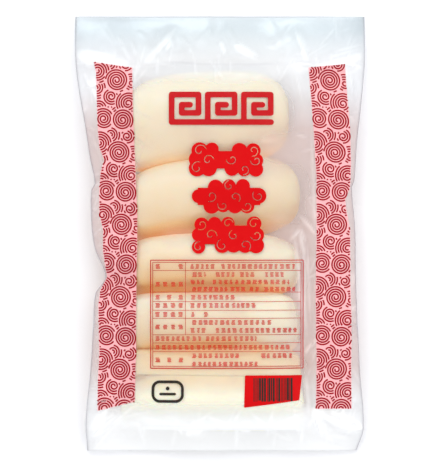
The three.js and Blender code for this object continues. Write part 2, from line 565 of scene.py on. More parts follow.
@dataclass(frozen=True)
class Roll:
    """A long steamed bun of oval section: its middle in plan, its sizes, how it lies and how it is coloured.

    lean tips its section up on the table, lifting the edge nearer the top seal, and turn swings it about the
    vertical, both in degrees. tone_and_shade is how warm and dark its skin is all over, partly its own tone
    and partly painted shade, and upper_shade is painted shade on its upper flank. lower_shade is how much
    painted shade gathers on its lower side, which turns to painted light where it is negative, fade how much
    of it is lost towards the right end, and dull how much darker that end is with painted shade. end_power is
    how square its ends are under the film, and upper_left, lower_left, right and section how square its own
    corners and section are. 2 is round.
    """

    name: str
    x: float
    y: float
    length: float
    wide: float
    thick: float
    lean: float
    turn: float
    # Painted shade on the skin: all over (partly the roll's own tone), lower side, right end and upper flank.
    tone_and_shade: float = 0.0
    lower_shade: float = 1.0
    fade: float = 0.0
    dull: float = 0.0
    upper_shade: float = 0.0
    upper_left: float = 3.4
    end_power: float = 3.4
    lower_left: float = 6.0
    right: float = 3.0
    section: float = 2.0
    film_gap: float = 0.6

    @property
    def middle_height(self) -> float:
        """How high its middle lies: half of how tall the leaning section stands, and the film under it."""
        lean = math.radians(self.lean)
        return math.hypot(self.wide / 2 * math.sin(lean), self.thick / 2 * math.cos(lean)) + self.film_gap

    def swung(self, x: Array, y: Array) -> tuple[Array, Array]:
        """How far along and across the roll points lie in plan, from its middle.

        Args:
            x: The points' x.
            y: The points' y.

        Returns:
            Their places along and across.
        """
        turn = math.radians(self.turn)
        x, y = x - self.x, y - self.y
        return x * math.cos(turn) + y * math.sin(turn), y * math.cos(turn) - x * math.sin(turn)

    def placed(self, own: Array) -> Array:
        """Points given in the roll's own directions, where they lie in the bag.

        Args:
            own: Rows of along, wide way and thick way, from the roll's middle.

        Returns:
            Rows of x, y and z.
        """
        turn, lean = math.radians(self.turn), math.radians(self.lean)
        across = own[:, 1] * math.cos(lean) - own[:, 2] * math.sin(lean)
        up = own[:, 1] * math.sin(lean) + own[:, 2] * math.cos(lean)
        x = self.x + own[:, 0] * math.cos(turn) - across * math.sin(turn)
        y = self.y + own[:, 0] * math.sin(turn) + across * math.cos(turn)
        return np.stack([x, y, up + self.middle_height], axis=1)

    def fullness(self, points: Array) -> Array:
        """How far out points lie: under 1 inside the roll and 1 on its surface.

        Args:
            points: Rows of x, y and z.

        Returns:
            One number for each point.
        """
        lean = math.radians(self.lean)
        along, across = self.swung(points[:, 0], points[:, 1])
        up = points[:, 2] - self.middle_height
        wide_way = (across * math.cos(lean) + up * math.sin(lean)) / (self.wide / 2)
        thick_way = (up * math.cos(lean) - across * math.sin(lean)) / (self.thick / 2)
        out = (np.abs(wide_way) ** self.section + np.abs(thick_way) ** self.section) ** (1 / self.section)
        upper = 0.5 + 0.5 * np.clip(wide_way / np.maximum(out, 1e-9), -1, 1)
        left = self.lower_left + (self.upper_left - self.lower_left) * upper
        power = np.where(along < 0, left, self.right)
        return (np.abs(along / (self.length / 2)) ** power + out ** power) ** (1 / power)

    def plan(self, x: Array, y: Array) -> tuple[Array, Array]:
        """Where points lie over the roll seen from above.

        Args:
            x: The points' x.
            y: The points' y.

        Returns:
            How far along and how far across they are, each from -1 to 1 between the roll's outlines.
        """
        lean = math.radians(self.lean)
        along, across = self.swung(x, y)
        half = math.hypot(self.wide / 2 * math.cos(lean), self.thick / 2 * math.sin(lean))
        return along / (self.length / 2), across / half

    def beyond(self, x: Array, y: Array) -> Array:
        """How far out points lie in plan, which is 1 on the roll's outline seen from above."""
        along, across = self.plan(x, y)
        return (along ** 4 + across ** 4) ** 0.25

    def span(self, x: Array, y: Array) -> tuple[Array, Array]:
        """The roll's top and bottom over a grid in plan.

        Args:
            x: The grid's x.
            y: The grid's y.

        Returns:
            The heights of its top and its bottom, which are minus and plus infinity where it isn't there.
        """
        lean = math.radians(self.lean)
        along, across = self.swung(x, y)
        to_end = np.minimum(np.abs(along) / (self.length / 2), 1 - 1e-9)
        share = (1 - to_end ** self.end_power) ** (1 / self.end_power)
        wide = 1 / (self.wide / 2 * share) ** 2
        thick = 1 / (self.thick / 2 * share) ** 2
        sine, cosine = math.sin(lean), math.cos(lean)
        a = sine * sine * wide + cosine * cosine * thick
        b = sine * cosine * (wide - thick)
        c = cosine * cosine * wide + sine * sine * thick
        inside = (b * across) ** 2 - a * (c * across * across - 1)
        root = np.sqrt(np.maximum(inside, 0)) / a
        middle = self.middle_height - b * across / a
        there = inside > 0
        return np.where(there, middle + root, -np.inf), np.where(there, middle - root, np.inf)


ROLLS = (
    Roll("roll_1", -8.6, 71.5, 101, 60, 42, 4, 1, 0.1, 0.4, 0.0, 0.25),
    Roll("roll_2", -4.6, 21.0, 106, 57, 40, 34, 5, 0.12, 0.9, 0.3, 0.45),
    Roll("roll_3", -5.0, -21.2, 107, 54, 38, 58, 1, 0.06, 1.75, 0.85),
    Roll("roll_4", -6.8, -56.2, 107, 54, 37, 62, 0, 0.06, 1.1, 0.85),
    Roll("roll_5", -2.5, -89.0, 103, 48, 34, 68, 1, 0.38, -0.6, 0.0),
    Roll("roll_6", -0.6, -105.0, 103, 52, 30, 74, -1, 0.0, 0.0),
)
SHOWN_ROLLS = (
    replace(ROLLS[0], x=-8.9, y=70.5, length=104, turn=4, upper_left=2.8, lower_left=9.0),
    replace(ROLLS[1], x=-6.0, length=111, upper_left=2.4),
    replace(ROLLS[2], length=109, upper_left=2.6),
    replace(ROLLS[3], x=-6.0, length=109, upper_left=4.0, right=5.0),
    replace(ROLLS[4], x=-5.7, length=111, upper_left=6.0, lower_left=12.0, right=5.0, section=2.5),
    replace(ROLLS[5], x=-4.8, length=112, wide=57, upper_left=9.0, right=4.0, section=3.0, upper_shade=0.3),
)


def smooth_least(first: Array, second: Array, blend: float) -> Array:
    """The lesser of two heights, never above either, rounded over where they differ by less than blend."""
    share = np.clip(0.5 + 0.5 * (second - first) / blend, 0, 1)
    return second + (first - second) * share - blend * share * (1 - share)


def smooth_most(first: Array, second: Array, blend: float) -> Array:
    """The greater of two heights, rounded over where they cross, and never below either."""
    return -smooth_least(-first, -second, blend)


def beside_line(x: Array, y: Array, start: Point, end: Point) -> tuple[Array, Array]:
    """Where points lie beside a line in plan.

    Args:
        x: The points' x.
        y: The points' y.
        start: Where the line starts.
        end: Where it ends.

    Returns:
        How far along it they are, as a share of its length, and how far to one side, in millimetres.
    """
    way = np.array(end) - np.array(start)
    length = float(np.hypot(*way))
    along = ((x - start[0]) * way[0] + (y - start[1]) * way[1]) / length ** 2
    aside = ((x - start[0]) * way[1] - (y - start[1]) * way[0]) / length
    return along, aside


def faded_ends(along: Array, start: Point, end: Point) -> Array:
    """1 along a line, rising to that between the places of start and falling from it between those of end."""
    return smoothstep(along, *start) * (1 - smoothstep(along, *end))


def lines_in_plan(kind: type, rows: Sequence[tuple[float, ...]]) -> tuple[Any, ...]:
    """Creases or streaks, from rows of start x and y, end x and y, width, and height or amount."""
    return tuple(kind((x0, y0), (x1, y1), *sizes) for x0, y0, x1, y1, *sizes in rows)


@dataclass(frozen=True)
class Crease:
    """A ridge in the film, or a furrow where its height is negative, from one point in plan to another."""

    start: Point
    end: Point
    width: float
    height: float
    rise: Point = (-0.2, 0.3)
    fall: Point = (0.7, 1.2)
    least_sharp: float = 0.5
    sharp_share: float = 0.12

    def added(self, x: Array, y: Array) -> tuple[Array, Array]:
        """What the crease does over a grid in plan.

        Args:
            x: The grid's x.
            y: The grid's y.

        Returns:
            The height that it adds, and how creased the film is, from 0 to 1.
        """
        along, aside = beside_line(x, y, self.start, self.end)
        reach = faded_ends(along, self.rise, self.fall)
        sharp = np.exp(-(aside / (self.least_sharp + self.sharp_share * self.width)) ** 2)
        return self.height * reach * np.exp(-(2 * aside / self.width) ** 2), reach * sharp


BIG_CREASES = lines_in_plan(Crease, (
    (-28, 127, -46, 107, 7, 1.6), (0, 120, 3, 110, 7, 1.4), (10, 120, 25, 109, 7, 1.5),
    (47, 126, 54, 108, 8, 1.8), (-89, 112, -56, 104, 9, 3.2), (88, 110, 54, 102, 9, 2.6),
    (-83, -128, -68, -106, 8, 3), (-20, -125, -15, -119, 7, 1.6), (63, -125, 57, -110, 7, 2.4),
    (86, -123, 60, -112, 7, 2.6), (-79, 30, -62, 34, 8, -2.6), (-71, -27, -58, -30, 9, -3),
    (82, 29, 58, 31, 8, -2.6), (46, -2, 53, -60, 8, 2.2), (45.4, -2.8, 50, 2.8, 3, 0.9),
    (50, 2.8, 52.9, -5.2, 3, 0.9), (51.8, -5.9, 51.2, -22.5, 3.4, 0.8), (54, -10, 55.5, -48, 3, 0.7),
))


@dataclass(frozen=True)
class Crinkler:
    """Draws small crinkles beside the rolls and on the fins, most of them running along the bag.

    beside, top and bottom are where they lie, across and along the bag. places are the share of them beside
    the rolls, and that share with the top fin's. On the top and the bottom fin a crinkle is turned further,
    by its x over the first and the second of fans, in radians. Other pairs are what a size is drawn between.
    """

    places: Point = (0.62, 0.86)
    beside: tuple[Point, Point] = ((48, 86), (-118, 112))
    top: tuple[Point, Point] = ((-84, 84), (102, 130))
    bottom: tuple[Point, Point] = ((-80, 80), (-130, -112))
    fans: Point = (-150, 120)
    upright_share: float = 0.7
    upright_spread: float = 0.45
    spread: float = 0.5
    length: Point = (6, 22)
    width_beside: Point = (1.6, 3.4)
    width_on_fin: Point = (2.6, 6.0)
    height: Point = (0.15, 0.55)

    def drawn(self, draw: random.Random) -> Crease:
        """One small crinkle.

        Args:
            draw: The random numbers to draw from.

        Returns:
            The crinkle.
        """
        upright = math.pi / 2
        side = draw.choice((-1, 1))
        place = draw.random()
        beside_rolls, on_top_fin = (place < limit for limit in self.places)
        if beside_rolls:
            x, y = side * draw.uniform(*self.beside[0]), draw.uniform(*self.beside[1])
            along_bag = draw.random() < self.upright_share
            angle = upright + draw.gauss(0, self.upright_spread) if along_bag else draw.gauss(0, self.spread)
            width_range = self.width_beside
        else:
            (across, along), fan = (self.top, self.fans[0]) if on_top_fin else (self.bottom, self.fans[1])
            x, y = draw.uniform(*across), draw.uniform(*along)
            angle = upright + draw.gauss(0, self.spread) + x / fan
            width_range = self.width_on_fin
        half = draw.uniform(*self.length) / 2
        dx, dy = half * math.cos(angle), half * math.sin(angle)
        width = draw.uniform(*width_range)
        return Crease((x - dx, y - dy), (x + dx, y + dy), width, draw.uniform(*self.height))


@dataclass(frozen=True)
class Streak:
    """A soft line painted on the film: a white painted highlight where its amount is positive, and grey
    painted shade where it is negative.
    """

    start: Point
    end: Point
    width: float
    amount: float
    rise: Point = (-0.15, 0.35)
    fall: Point = (0.65, 1.15)

    def added(self, x: Array, y: Array) -> Array:
        """How strong the streak is at each point of a grid in plan."""
        along, aside = beside_line(x, y, self.start, self.end)
        return self.amount * faded_ends(along, self.rise, self.fall) * np.exp(-(2 * aside / self.width) ** 2)


# White painted highlights along creases and facets where the amount is positive, and grey painted shade along
# the cut end, by the top-left corner, along folds and beside the rolls where it is negative.
STREAKS = lines_in_plan(Streak, (
    (-90, 134.7, 90, 134.7, 1.3, -0.5), (-92, 133.5, -52, 135, 5, -0.32), (-42, 117, 64, 117, 30, 0.2),
    (-45.7, 105.2, 53, 105.2, 1.4, -0.3), (-36, 106.4, -12, 105.8, 1.6, -0.36),
    (-18.5, 109, 30.9, 110.1, 1.6, -0.2), (-45, 112, -4, 113.6, 2.4, -0.16), (-84, 101, -81, 70, 1.4, -0.26),
    (-78, -117, 55, -117.6, 1.8, -0.1), (-60, -121.5, 60, -121, 1.8, -0.14),
    (-60, -119.2, -4, -119, 2, -0.12), (12, -123, 56, -123.4, 2.4, -0.1),
    (-81.5, -100, -82.5, -128, 1.4, -0.34), (-81.6, -129.8, -73, -117.6, 1.3, -0.22),
    (57.4, -111.4, 62.9, -127.4, 1.4, -0.3), (61.7, -112.6, 72.8, -123.1, 1.4, -0.3),
    (72.8, -123.1, 84.2, -126.8, 1.3, -0.3), (65.4, -128.6, 85.1, -135, 1.4, -0.2),
    (-27.8, 126.8, -45.7, 107, 4.2, 0.42), (0, 120.4, 3.4, 111, 3.6, 0.5),
    (9.9, 118.2, 23.4, 110.8, 3.6, 0.24), (46.9, 127.6, 54.1, 111, 5, 0.3),
    (-89.5, 112.9, -66, 109.2, 3.4, 0.7), (-89.5, 112.4, -79, 104.4, 4.6, 0.75),
    (-80, 107.8, -56, 105.4, 3.4, 0.6), (88.9, 111.8, 79.2, 106, 4.4, 0.55),
    (81.2, 106.8, 64, 104.6, 3.2, 0.45), (-72.6, -111.6, -79.9, -126.4, 6.4, 0.6),
    (-18.3, -120, -11.3, -120.6, 5.6, 0.7), (12.6, -119.8, 19.5, -120.4, 5.4, 0.7),
    (65.2, -114.4, 56.8, -107.9, 5, 0.5), (49.2, 3, 52.6, -16.4, 2.8, 0.42),
    (43.2, -4.8, 49.8, 3.8, 2.8, 0.3), (47.6, 12.4, 59.4, -0.3, 2.4, 0.24),
    (53.3, -9.2, 51.6, -60.5, 2.2, 0.26), (52.3, 1.2, 54.5, -18.6, 1.4, -0.16), (56.8, 60, 58.6, 6, 2, 0.2),
    (52.5, -86, 55.5, -112.6, 2.8, 0.3), (83.5, 104, 82.5, 56, 9, -0.28), (-80.5, 66, -77, 4, 5, -0.2),
))


@dataclass(frozen=True)
class HazyShade:
    """A milky patch of film, oval in plan, where it stands off the food: partly its own haze and partly
    painted shade that greys and pinks the rolls below.
    """

    middle: Point
    reach: Point
    amount: float

    def added(self, x: Array, y: Array) -> Array:
        """How milky the patch makes the film at each point of a grid in plan."""
        away = ((x - self.middle[0]) / self.reach[0]) ** 2 + ((y - self.middle[1]) / self.reach[1]) ** 2
        return self.amount * np.exp(-away)


# Milky patches of film that also paint shade, greyer and pinker, over the rolls below.
HAZY_SHADES = (
    HazyShade((-12.0, 62.0), (55.0, 22.0), 0.2),
    HazyShade((-85.0, 45.0), (6.0, 60.0), 0.75),
    HazyShade((87.0, 60.0), (6.0, 60.0), 0.5),
    HazyShade((-44.0, 98.0), (18.0, 11.0), 0.6),
    HazyShade((-52.0, -92.0), (8.0, 7.0), 0.3),
    HazyShade((37.0, 52.0), (19.0, 14.0), 0.95),
    HazyShade((44.0, 92.0), (12.0, 9.0), 0.4),
    HazyShade((42.0, 1.5), (14.0, 11.0), 0.9),
    HazyShade((50.0, -34.0), (8.0, 30.0), 0.45),
    HazyShade((44.0, -71.0), (13.0, 9.0), 0.75),
    HazyShade((20.0, -112.0), (30.0, 7.0), 0.3),
)


@dataclass
class BagFilm:
    """The bag's two films, from the seals and side folds to how they hang over the rolls.

    top_rise and bottom_rise are how high a fin lies at its cut end and at its root. wave is the height,
    length and shift of its waves. drawn_in and pressed_down draw the settling films down. passes are how much
    coarser each settling's grid is, and its sweeps. crease_limit is how white a crease's painted highlight
    gets, crease_full from what height, and crease_below what share of it the lower film has. hugging is how
    far out in plan the film leaves a roll. top_milk and bottom_milk are how milky it is by each seal, partly
    its own haze and partly painted light that brightens the fins, and top_milky and bottom_milky where that
    starts and is full. fold_line, fold_blur and cut_line are how grey with painted shade and how wide the
    lines along the folds and the cut ends are.
    """

    length: float = 270
    top_fin: float = 30
    bottom_fin: float = 12.5
    fin_film: float = 0.7
    fin_blend: float = 45
    fin_curve: float = 1.5
    fold_height: float = 20
    top_rise: Point = (5, 17)
    bottom_rise: Point = (7, 13)
    wave: tuple[float, float, float] = (1.5, 71, 12)
    droop: float = 2.5
    drawn_in: float = 0.013
    pressed_down: float = 0.004
    cells_across: int = 172
    cells_along: tuple[int, int, int] = (12, 206, 30)
    passes: tuple[tuple[int, int], ...] = ((4, 260), (2, 160), (1, 120))
    left_fold: tuple[Point, ...] = (
        (135, -90), (113, -90), (92, -88), (65, -83.3), (48, -80.8), (31, -77.6), (27, -79.7), (7, -79.7),
        (-9, -77.6), (-27, -71), (-37, -77), (-55, -78.4), (-84, -80.2), (-116, -83.3), (-135, -82.5))
    right_fold: tuple[Point, ...] = (
        (135, 90), (108, 90), (80, 87.6), (58, 85.1), (33, 83.3), (28, 81.8), (3, 83.8), (-29, 84.3),
        (-55, 85.3), (-86, 86.9), (-121, 89.3), (-135, 85))
    softenings: int = 14
    crinkles: int = 260
    crinkler: Crinkler = Crinkler()
    crease_limit: float = 0.4
    crease_full: float = 2.6
    crease_below: float = 0.5
    slack: float = 4
    hugging: Point = (0.9, 1.24)
    top_milk: float = 0.42
    top_milky: Point = (88, 101)
    bottom_milk: float = 0.7
    bottom_milky: Point = (99, 116)
    fold_line: Point = (0.5, 0.9)
    fold_blur: Point = (0.26, 6.5)
    cut_line: Point = (0.12, 0.7)
    seed: int = 11
    x: Array = field(init=False)
    y: Array = field(init=False)
    top: Array = field(init=False)
    bottom: Array = field(init=False)
    creased: Array = field(init=False)
    greyed: Array = field(init=False)
    loose: Array = field(init=False)
    milk: Array = field(init=False)

    def fold(self, side: Side, y: Array) -> Array:
        """Where a side fold lies, as a smooth line through its stations.

        Args:
            side: The left or the right fold.
            y: Where it is read.

        Returns:
            Its x.
        """
        stations = self.left_fold if side is Side.LEFT else self.right_fold
        places, values = np.array(stations, float)[::-1].T
        slopes = np.empty_like(values)
        slopes[1:-1] = (values[2:] - values[:-2]) / (places[2:] - places[:-2])
        slopes[0] = (values[1] - values[0]) / (places[1] - places[0])
        slopes[-1] = (values[-1] - values[-2]) / (places[-1] - places[-2])
        k = np.clip(np.searchsorted(places, y) - 1, 0, len(places) - 2)
        step = places[k + 1] - places[k]
        t = (y - places[k]) / step
        return (values[k] * (2 * t ** 3 - 3 * t ** 2 + 1) + slopes[k] * step * (t ** 3 - 2 * t ** 2 + t)
                + values[k + 1] * (3 * t ** 2 - 2 * t ** 3) + slopes[k + 1] * step * (t ** 3 - t ** 2))

    def seam(self, x: Array, y: Array) -> Array:
        """The height where both films lie together: the fins, and the side folds between them.

        Args:
            x: Where it is read.
            y: Where it is read.

        Returns:
            The height.
        """
        height, length, shift = self.wave
        ripple = height * np.cos(2 * np.pi * (x + shift) / length)
        droop = self.droop * (x / (self.length / 3)) ** 2
        above = y > 0
        fin = np.where(above, self.top_fin, self.bottom_fin)
        seal = np.where(above, self.top_rise[0], self.bottom_rise[0])
        root = np.where(above, self.top_rise[1], self.bottom_rise[1])
        from_seal = self.length / 2 - np.abs(y)
        low = seal + (root - seal) * np.minimum(1, from_seal / fin) ** self.fin_curve - droop + ripple
        beside = smoothstep((from_seal - fin) / self.fin_blend, 0, 1)
        return low + (self.fold_height - low) * beside

    def grid(self, across: int, along: Sequence[int]) -> tuple[Array, Array]:
        """The grid in plan.

        Args:
            across: Cells from fold to fold.
            along: Cells in the bottom fin, between the fins, and in the top fin.

        Returns:
            The grid's x and y.
        """
        half = self.length / 2
        ends = (-half, -half + self.bottom_fin, half - self.top_fin, half)
        parts = [np.linspace(a, b, n, endpoint=False) for a, b, n in zip(ends, ends[1:], along)]
        y = np.append(np.concatenate(parts), half)
        left, right = self.fold(Side.LEFT, y), self.fold(Side.RIGHT, y)
        share = np.linspace(0, 1, across + 1)
        return left[:, None] + (right - left)[:, None] * share, np.repeat(y[:, None], across + 1, axis=1)

    def settle(self) -> None:
        """Hangs both films on the rolls, from a coarse grid to the fine one, and adds the creases."""
        sheets = None
        for level, sweeps in self.passes:
            x, y = self.grid(self.cells_across // level, [max(2, n // level) for n in self.cells_along])
            sheets = self._start(x, y, sheets)
            self._relax(x, y, sheets, sweeps)
        self.x, self.y = x, y
        self.top, self.bottom = sheets
        self._soften()
        self._crease()
        self._shade()

    def _soften(self) -> None:
        """Rounds both films over where they leave the rolls, within the gap that they keep to them."""
        inner = (slice(1, -1), slice(1, -1))
        free = ~self._held(self.x, self.y)[inner]
        food_top, food_bottom = (height[inner] for height in self._food(self.x, self.y))
        limits = ((self.top, food_top, np.inf), (self.bottom, 0, np.maximum(food_bottom, 0)))
        for _ in range(self.softenings):
            for sheet, low, high in limits:
                mean = (sheet[1:-1, :-2] + sheet[1:-1, 2:] + sheet[:-2, 1:-1] + sheet[2:, 1:-1]) / 4
                eased = np.clip((sheet[inner] + mean) / 2, low, high)
                sheet[inner] = np.where(free, eased, sheet[inner])

    @staticmethod
    def _food(x: Array, y: Array) -> tuple[Array, Array]:
        """The heights of the rolls' tops and bottoms over a grid in plan."""
        tops, bottoms = zip(*(roll.span(x, y) for roll in ROLLS))
        return np.max(tops, axis=0), np.min(bottoms, axis=0)

    def _start(self, x: Array, y: Array, coarser: tuple[Array, Array] | None) -> tuple[Array, Array]:
        """Both films before they settle: flat between the folds, or as a coarser grid left them.

        Args:
            x: The grid's x.
            y: The grid's y.
            coarser: The top and the bottom film on the coarser grid, if there is one.

        Returns:
            The top and the bottom film.
        """
        seam = self.seam(x, y)
        fresh = (seam + self.fin_film / 2, seam - self.fin_film / 2)
        if coarser is None:
            return fresh
        rows, columns = (np.linspace(0, old - 1, new) for old, new in zip(coarser[0].shape, x.shape))
        held = self._held(x, y)
        return tuple(np.where(held, new, bilinear(old, rows[:, None], columns[None, :]))
                     for new, old in zip(fresh, coarser))

    def _held(self, x: Array, y: Array) -> Array:
        """Where the films are held together: the fins and the side folds.

        Args:
            x: The grid's x.
            y: The grid's y.

        Returns:
            Whether each point is held.
        """
        half = self.length / 2
        held = (y >= half - self.top_fin - 1e-6) | (y <= -half + self.bottom_fin + 1e-6)
        held[:, 0] = held[:, -1] = True
        return held

    def _relax(self, x: Array, y: Array, sheets: tuple[Array, Array], sweeps: int, push: float = 1.7) -> None:
        """Settles both films in place, over-relaxed, on the two colours of a chequered grid by turns.

        Args:
            x: The grid's x.
            y: The grid's y.
            sheets: The top and the bottom film, which it changes.
            sweeps: How many sweeps.
            push: How far past the neighbours' mean each step goes.
        """
        top, bottom = sheets
        gap = ROLLS[0].film_gap
        food_top, food_bottom = self._food(x, y)
        food_top, food_bottom = np.maximum(food_top + gap, 0), np.clip(food_bottom - gap, 0, self.fold_height)
        inner = (slice(1, -1), slice(1, -1))
        across = 4 / (x[1:-1, 2:] - x[1:-1, :-2]) ** 2
        along = 4 / (y[2:, 1:-1] - y[:-2, 1:-1]) ** 2
        total = 2 * (across + along)
        free = ~self._held(x, y)[inner]
        row, column = np.indices(free.shape)
        for sweep in range(2 * sweeps):
            turn = free & ((row + column + sweep) % 2 == 0)
            for sheet, pull in ((bottom, 2 * self.pressed_down), (top, 2 * self.drawn_in)):
                mean = (across * (sheet[1:-1, :-2] + sheet[1:-1, 2:])
                        + along * (sheet[:-2, 1:-1] + sheet[2:, 1:-1]) - pull) / total
                moved = sheet[inner] + push * (mean - sheet[inner])
                if sheet is bottom:
                    moved = np.clip(moved, 0, food_bottom[inner])
                else:
                    moved = np.maximum(np.maximum(moved, food_top[inner]), bottom[inner] + self.fin_film)
                sheet[inner] = np.where(turn, moved, sheet[inner])

    def _crease(self) -> None:
        """Adds the big creases and many small crinkles to the settled films."""
        draw = random.Random(self.seed)
        creases = list(BIG_CREASES) + [self.crinkler.drawn(draw) for _ in range(self.crinkles)]
        added = np.zeros_like(self.top)
        self.creased = np.zeros_like(self.top)
        for crease in creases:
            height, sharp = crease.added(self.x, self.y)
            added += height
            white = min(self.crease_limit, abs(crease.height) / self.crease_full)
            self.creased = np.maximum(self.creased, sharp * white)
        self.bottom = np.maximum(0, self.bottom + added * np.clip(self.bottom / self.slack, 0, 1))
        self.top = np.maximum(self.top + added, self.bottom + self.fin_film)

    def _shade(self) -> None:
        """Works out the film's white painted highlights, its grey painted shade, where it hangs loose, and
        how milky it is with painted light by the seals, at each point.
        """
        streaks = [streak.added(self.x, self.y) for streak in STREAKS]
        self.creased = np.maximum(self.creased, np.max(streaks, axis=0))
        self.greyed = -np.min(streaks + [np.zeros_like(self.top)], axis=0)
        beside = np.min([roll.beyond(self.x, self.y) for roll in ROLLS], axis=0)
        # Milkier film where it hangs loose, and under the patches that paint shade on the rolls.
        clear = np.prod([1 - haze.added(self.x, self.y) for haze in HAZY_SHADES], axis=0)
        self.loose = 1 - (1 - smoothstep(beside, *self.hugging)) * clear
        # Whiter by each seal: partly the film's own haze, partly painted light that brightens the fins and
        # the slope to the bottom seal.
        self.milk = np.maximum(self.top_milk * smoothstep(self.y, *self.top_milky),
                               self.bottom_milk * smoothstep(-self.y, *self.bottom_milky))

    def heights(self, x: Array, y: Array) -> tuple[Array, Array]:
        """The films' heights anywhere in plan.

        Args:
            x: Where they are read.
            y: Where they are read.

        Returns:
            The upper film's height and the lower film's.
        """
        rows = np.interp(y, self.y[:, 0], np.arange(self.y.shape[0]))
        left, right = self.fold(Side.LEFT, y), self.fold(Side.RIGHT, y)
        columns = np.clip((x - left) / (right - left), 0, 1) * (self.x.shape[1] - 1)
        return bilinear(self.top, rows, columns), bilinear(self.bottom, rows, columns)

    def build(self) -> Object:
        """The closed film: the upper sheet, the lower sheet and the welded rim between them.

        Returns:
            The film.
        """
        rows, columns = self.x.shape
        count = rows * columns
        sheets = [np.stack([self.x, self.y, z], axis=-1).reshape(-1, 3) for z in (self.top, self.bottom)]
        upper = grid_faces(rows, columns)
        rim = np.concatenate([
            np.arange(columns - 1), np.arange(rows - 1) * columns + columns - 1,
            (rows - 1) * columns + np.arange(columns - 1, 0, -1), np.arange(rows - 1, 0, -1) * columns])
        after = np.roll(rim, -1)
        wall = np.stack([rim + count, after + count, after, rim], axis=1)
        faces = np.concatenate([upper, upper[:, ::-1] + count, wall])
        none = np.zeros(count)
        # The points carry the white painted highlights, where the film hangs loose, its milkiness with
        # painted light by the seals, and its grey painted shade.
        numbers = {
            "crease": np.clip(np.outer((1, self.crease_below), self.creased).ravel(), 0, 1),
            "loose": np.concatenate([self.loose.ravel(), none]),
            "milk": np.concatenate([self.milk.ravel(), none]),
            "folded": np.tile(self._folded().ravel(), 2),
        }
        return mesh_object("film", np.concatenate(sheets), faces.tolist(), numbers=numbers)

    def _folded(self) -> Array:
        """How grey the film's painted shade is along its folds and cut ends, and under the grey streaks.

        Returns:
            One number for each point of the grid.
        """
        left, right = self.fold(Side.LEFT, self.y[:, 0]), self.fold(Side.RIGHT, self.y[:, 0])
        from_fold = np.minimum(self.x - left[:, None], right[:, None] - self.x)
        from_seal = self.length / 2 - np.abs(self.y)
        line, blur, cut = (shade * np.exp(-(away / width) ** 2) for away, (shade, width) in (
            (from_fold, self.fold_line), (from_fold, self.fold_blur), (from_seal, self.cut_line)))
        return np.max([line + blur, cut, self.greyed], axis=0)


def grid_faces(rows: int, columns: int) -> Array:
    """The faces of a grid of so many rows and columns of points, as four points each, by number."""
    corner = (np.arange(rows - 1)[:, None] * columns + np.arange(columns - 1)).ravel()
    return np.stack([corner, corner + 1, corner + columns + 1, corner + columns], axis=1)


def bilinear(values: Array, rows: Array, columns: Array) -> Array:
    """A grid's values read between its points.

    Args:
        values: The grid.
        rows: Where it is read, in rows.
        columns: Where it is read, in columns.

    Returns:
        The values there.
    """
    r = np.clip(np.floor(rows).astype(int), 0, values.shape[0] - 2)
    c = np.clip(np.floor(columns).astype(int), 0, values.shape[1] - 2)
    u, v = rows - r, columns - c
    low = values[r, c] * (1 - v) + values[r, c + 1] * v
    high = values[r + 1, c] * (1 - v) + values[r + 1, c + 1] * v
    return low * (1 - u) + high * u


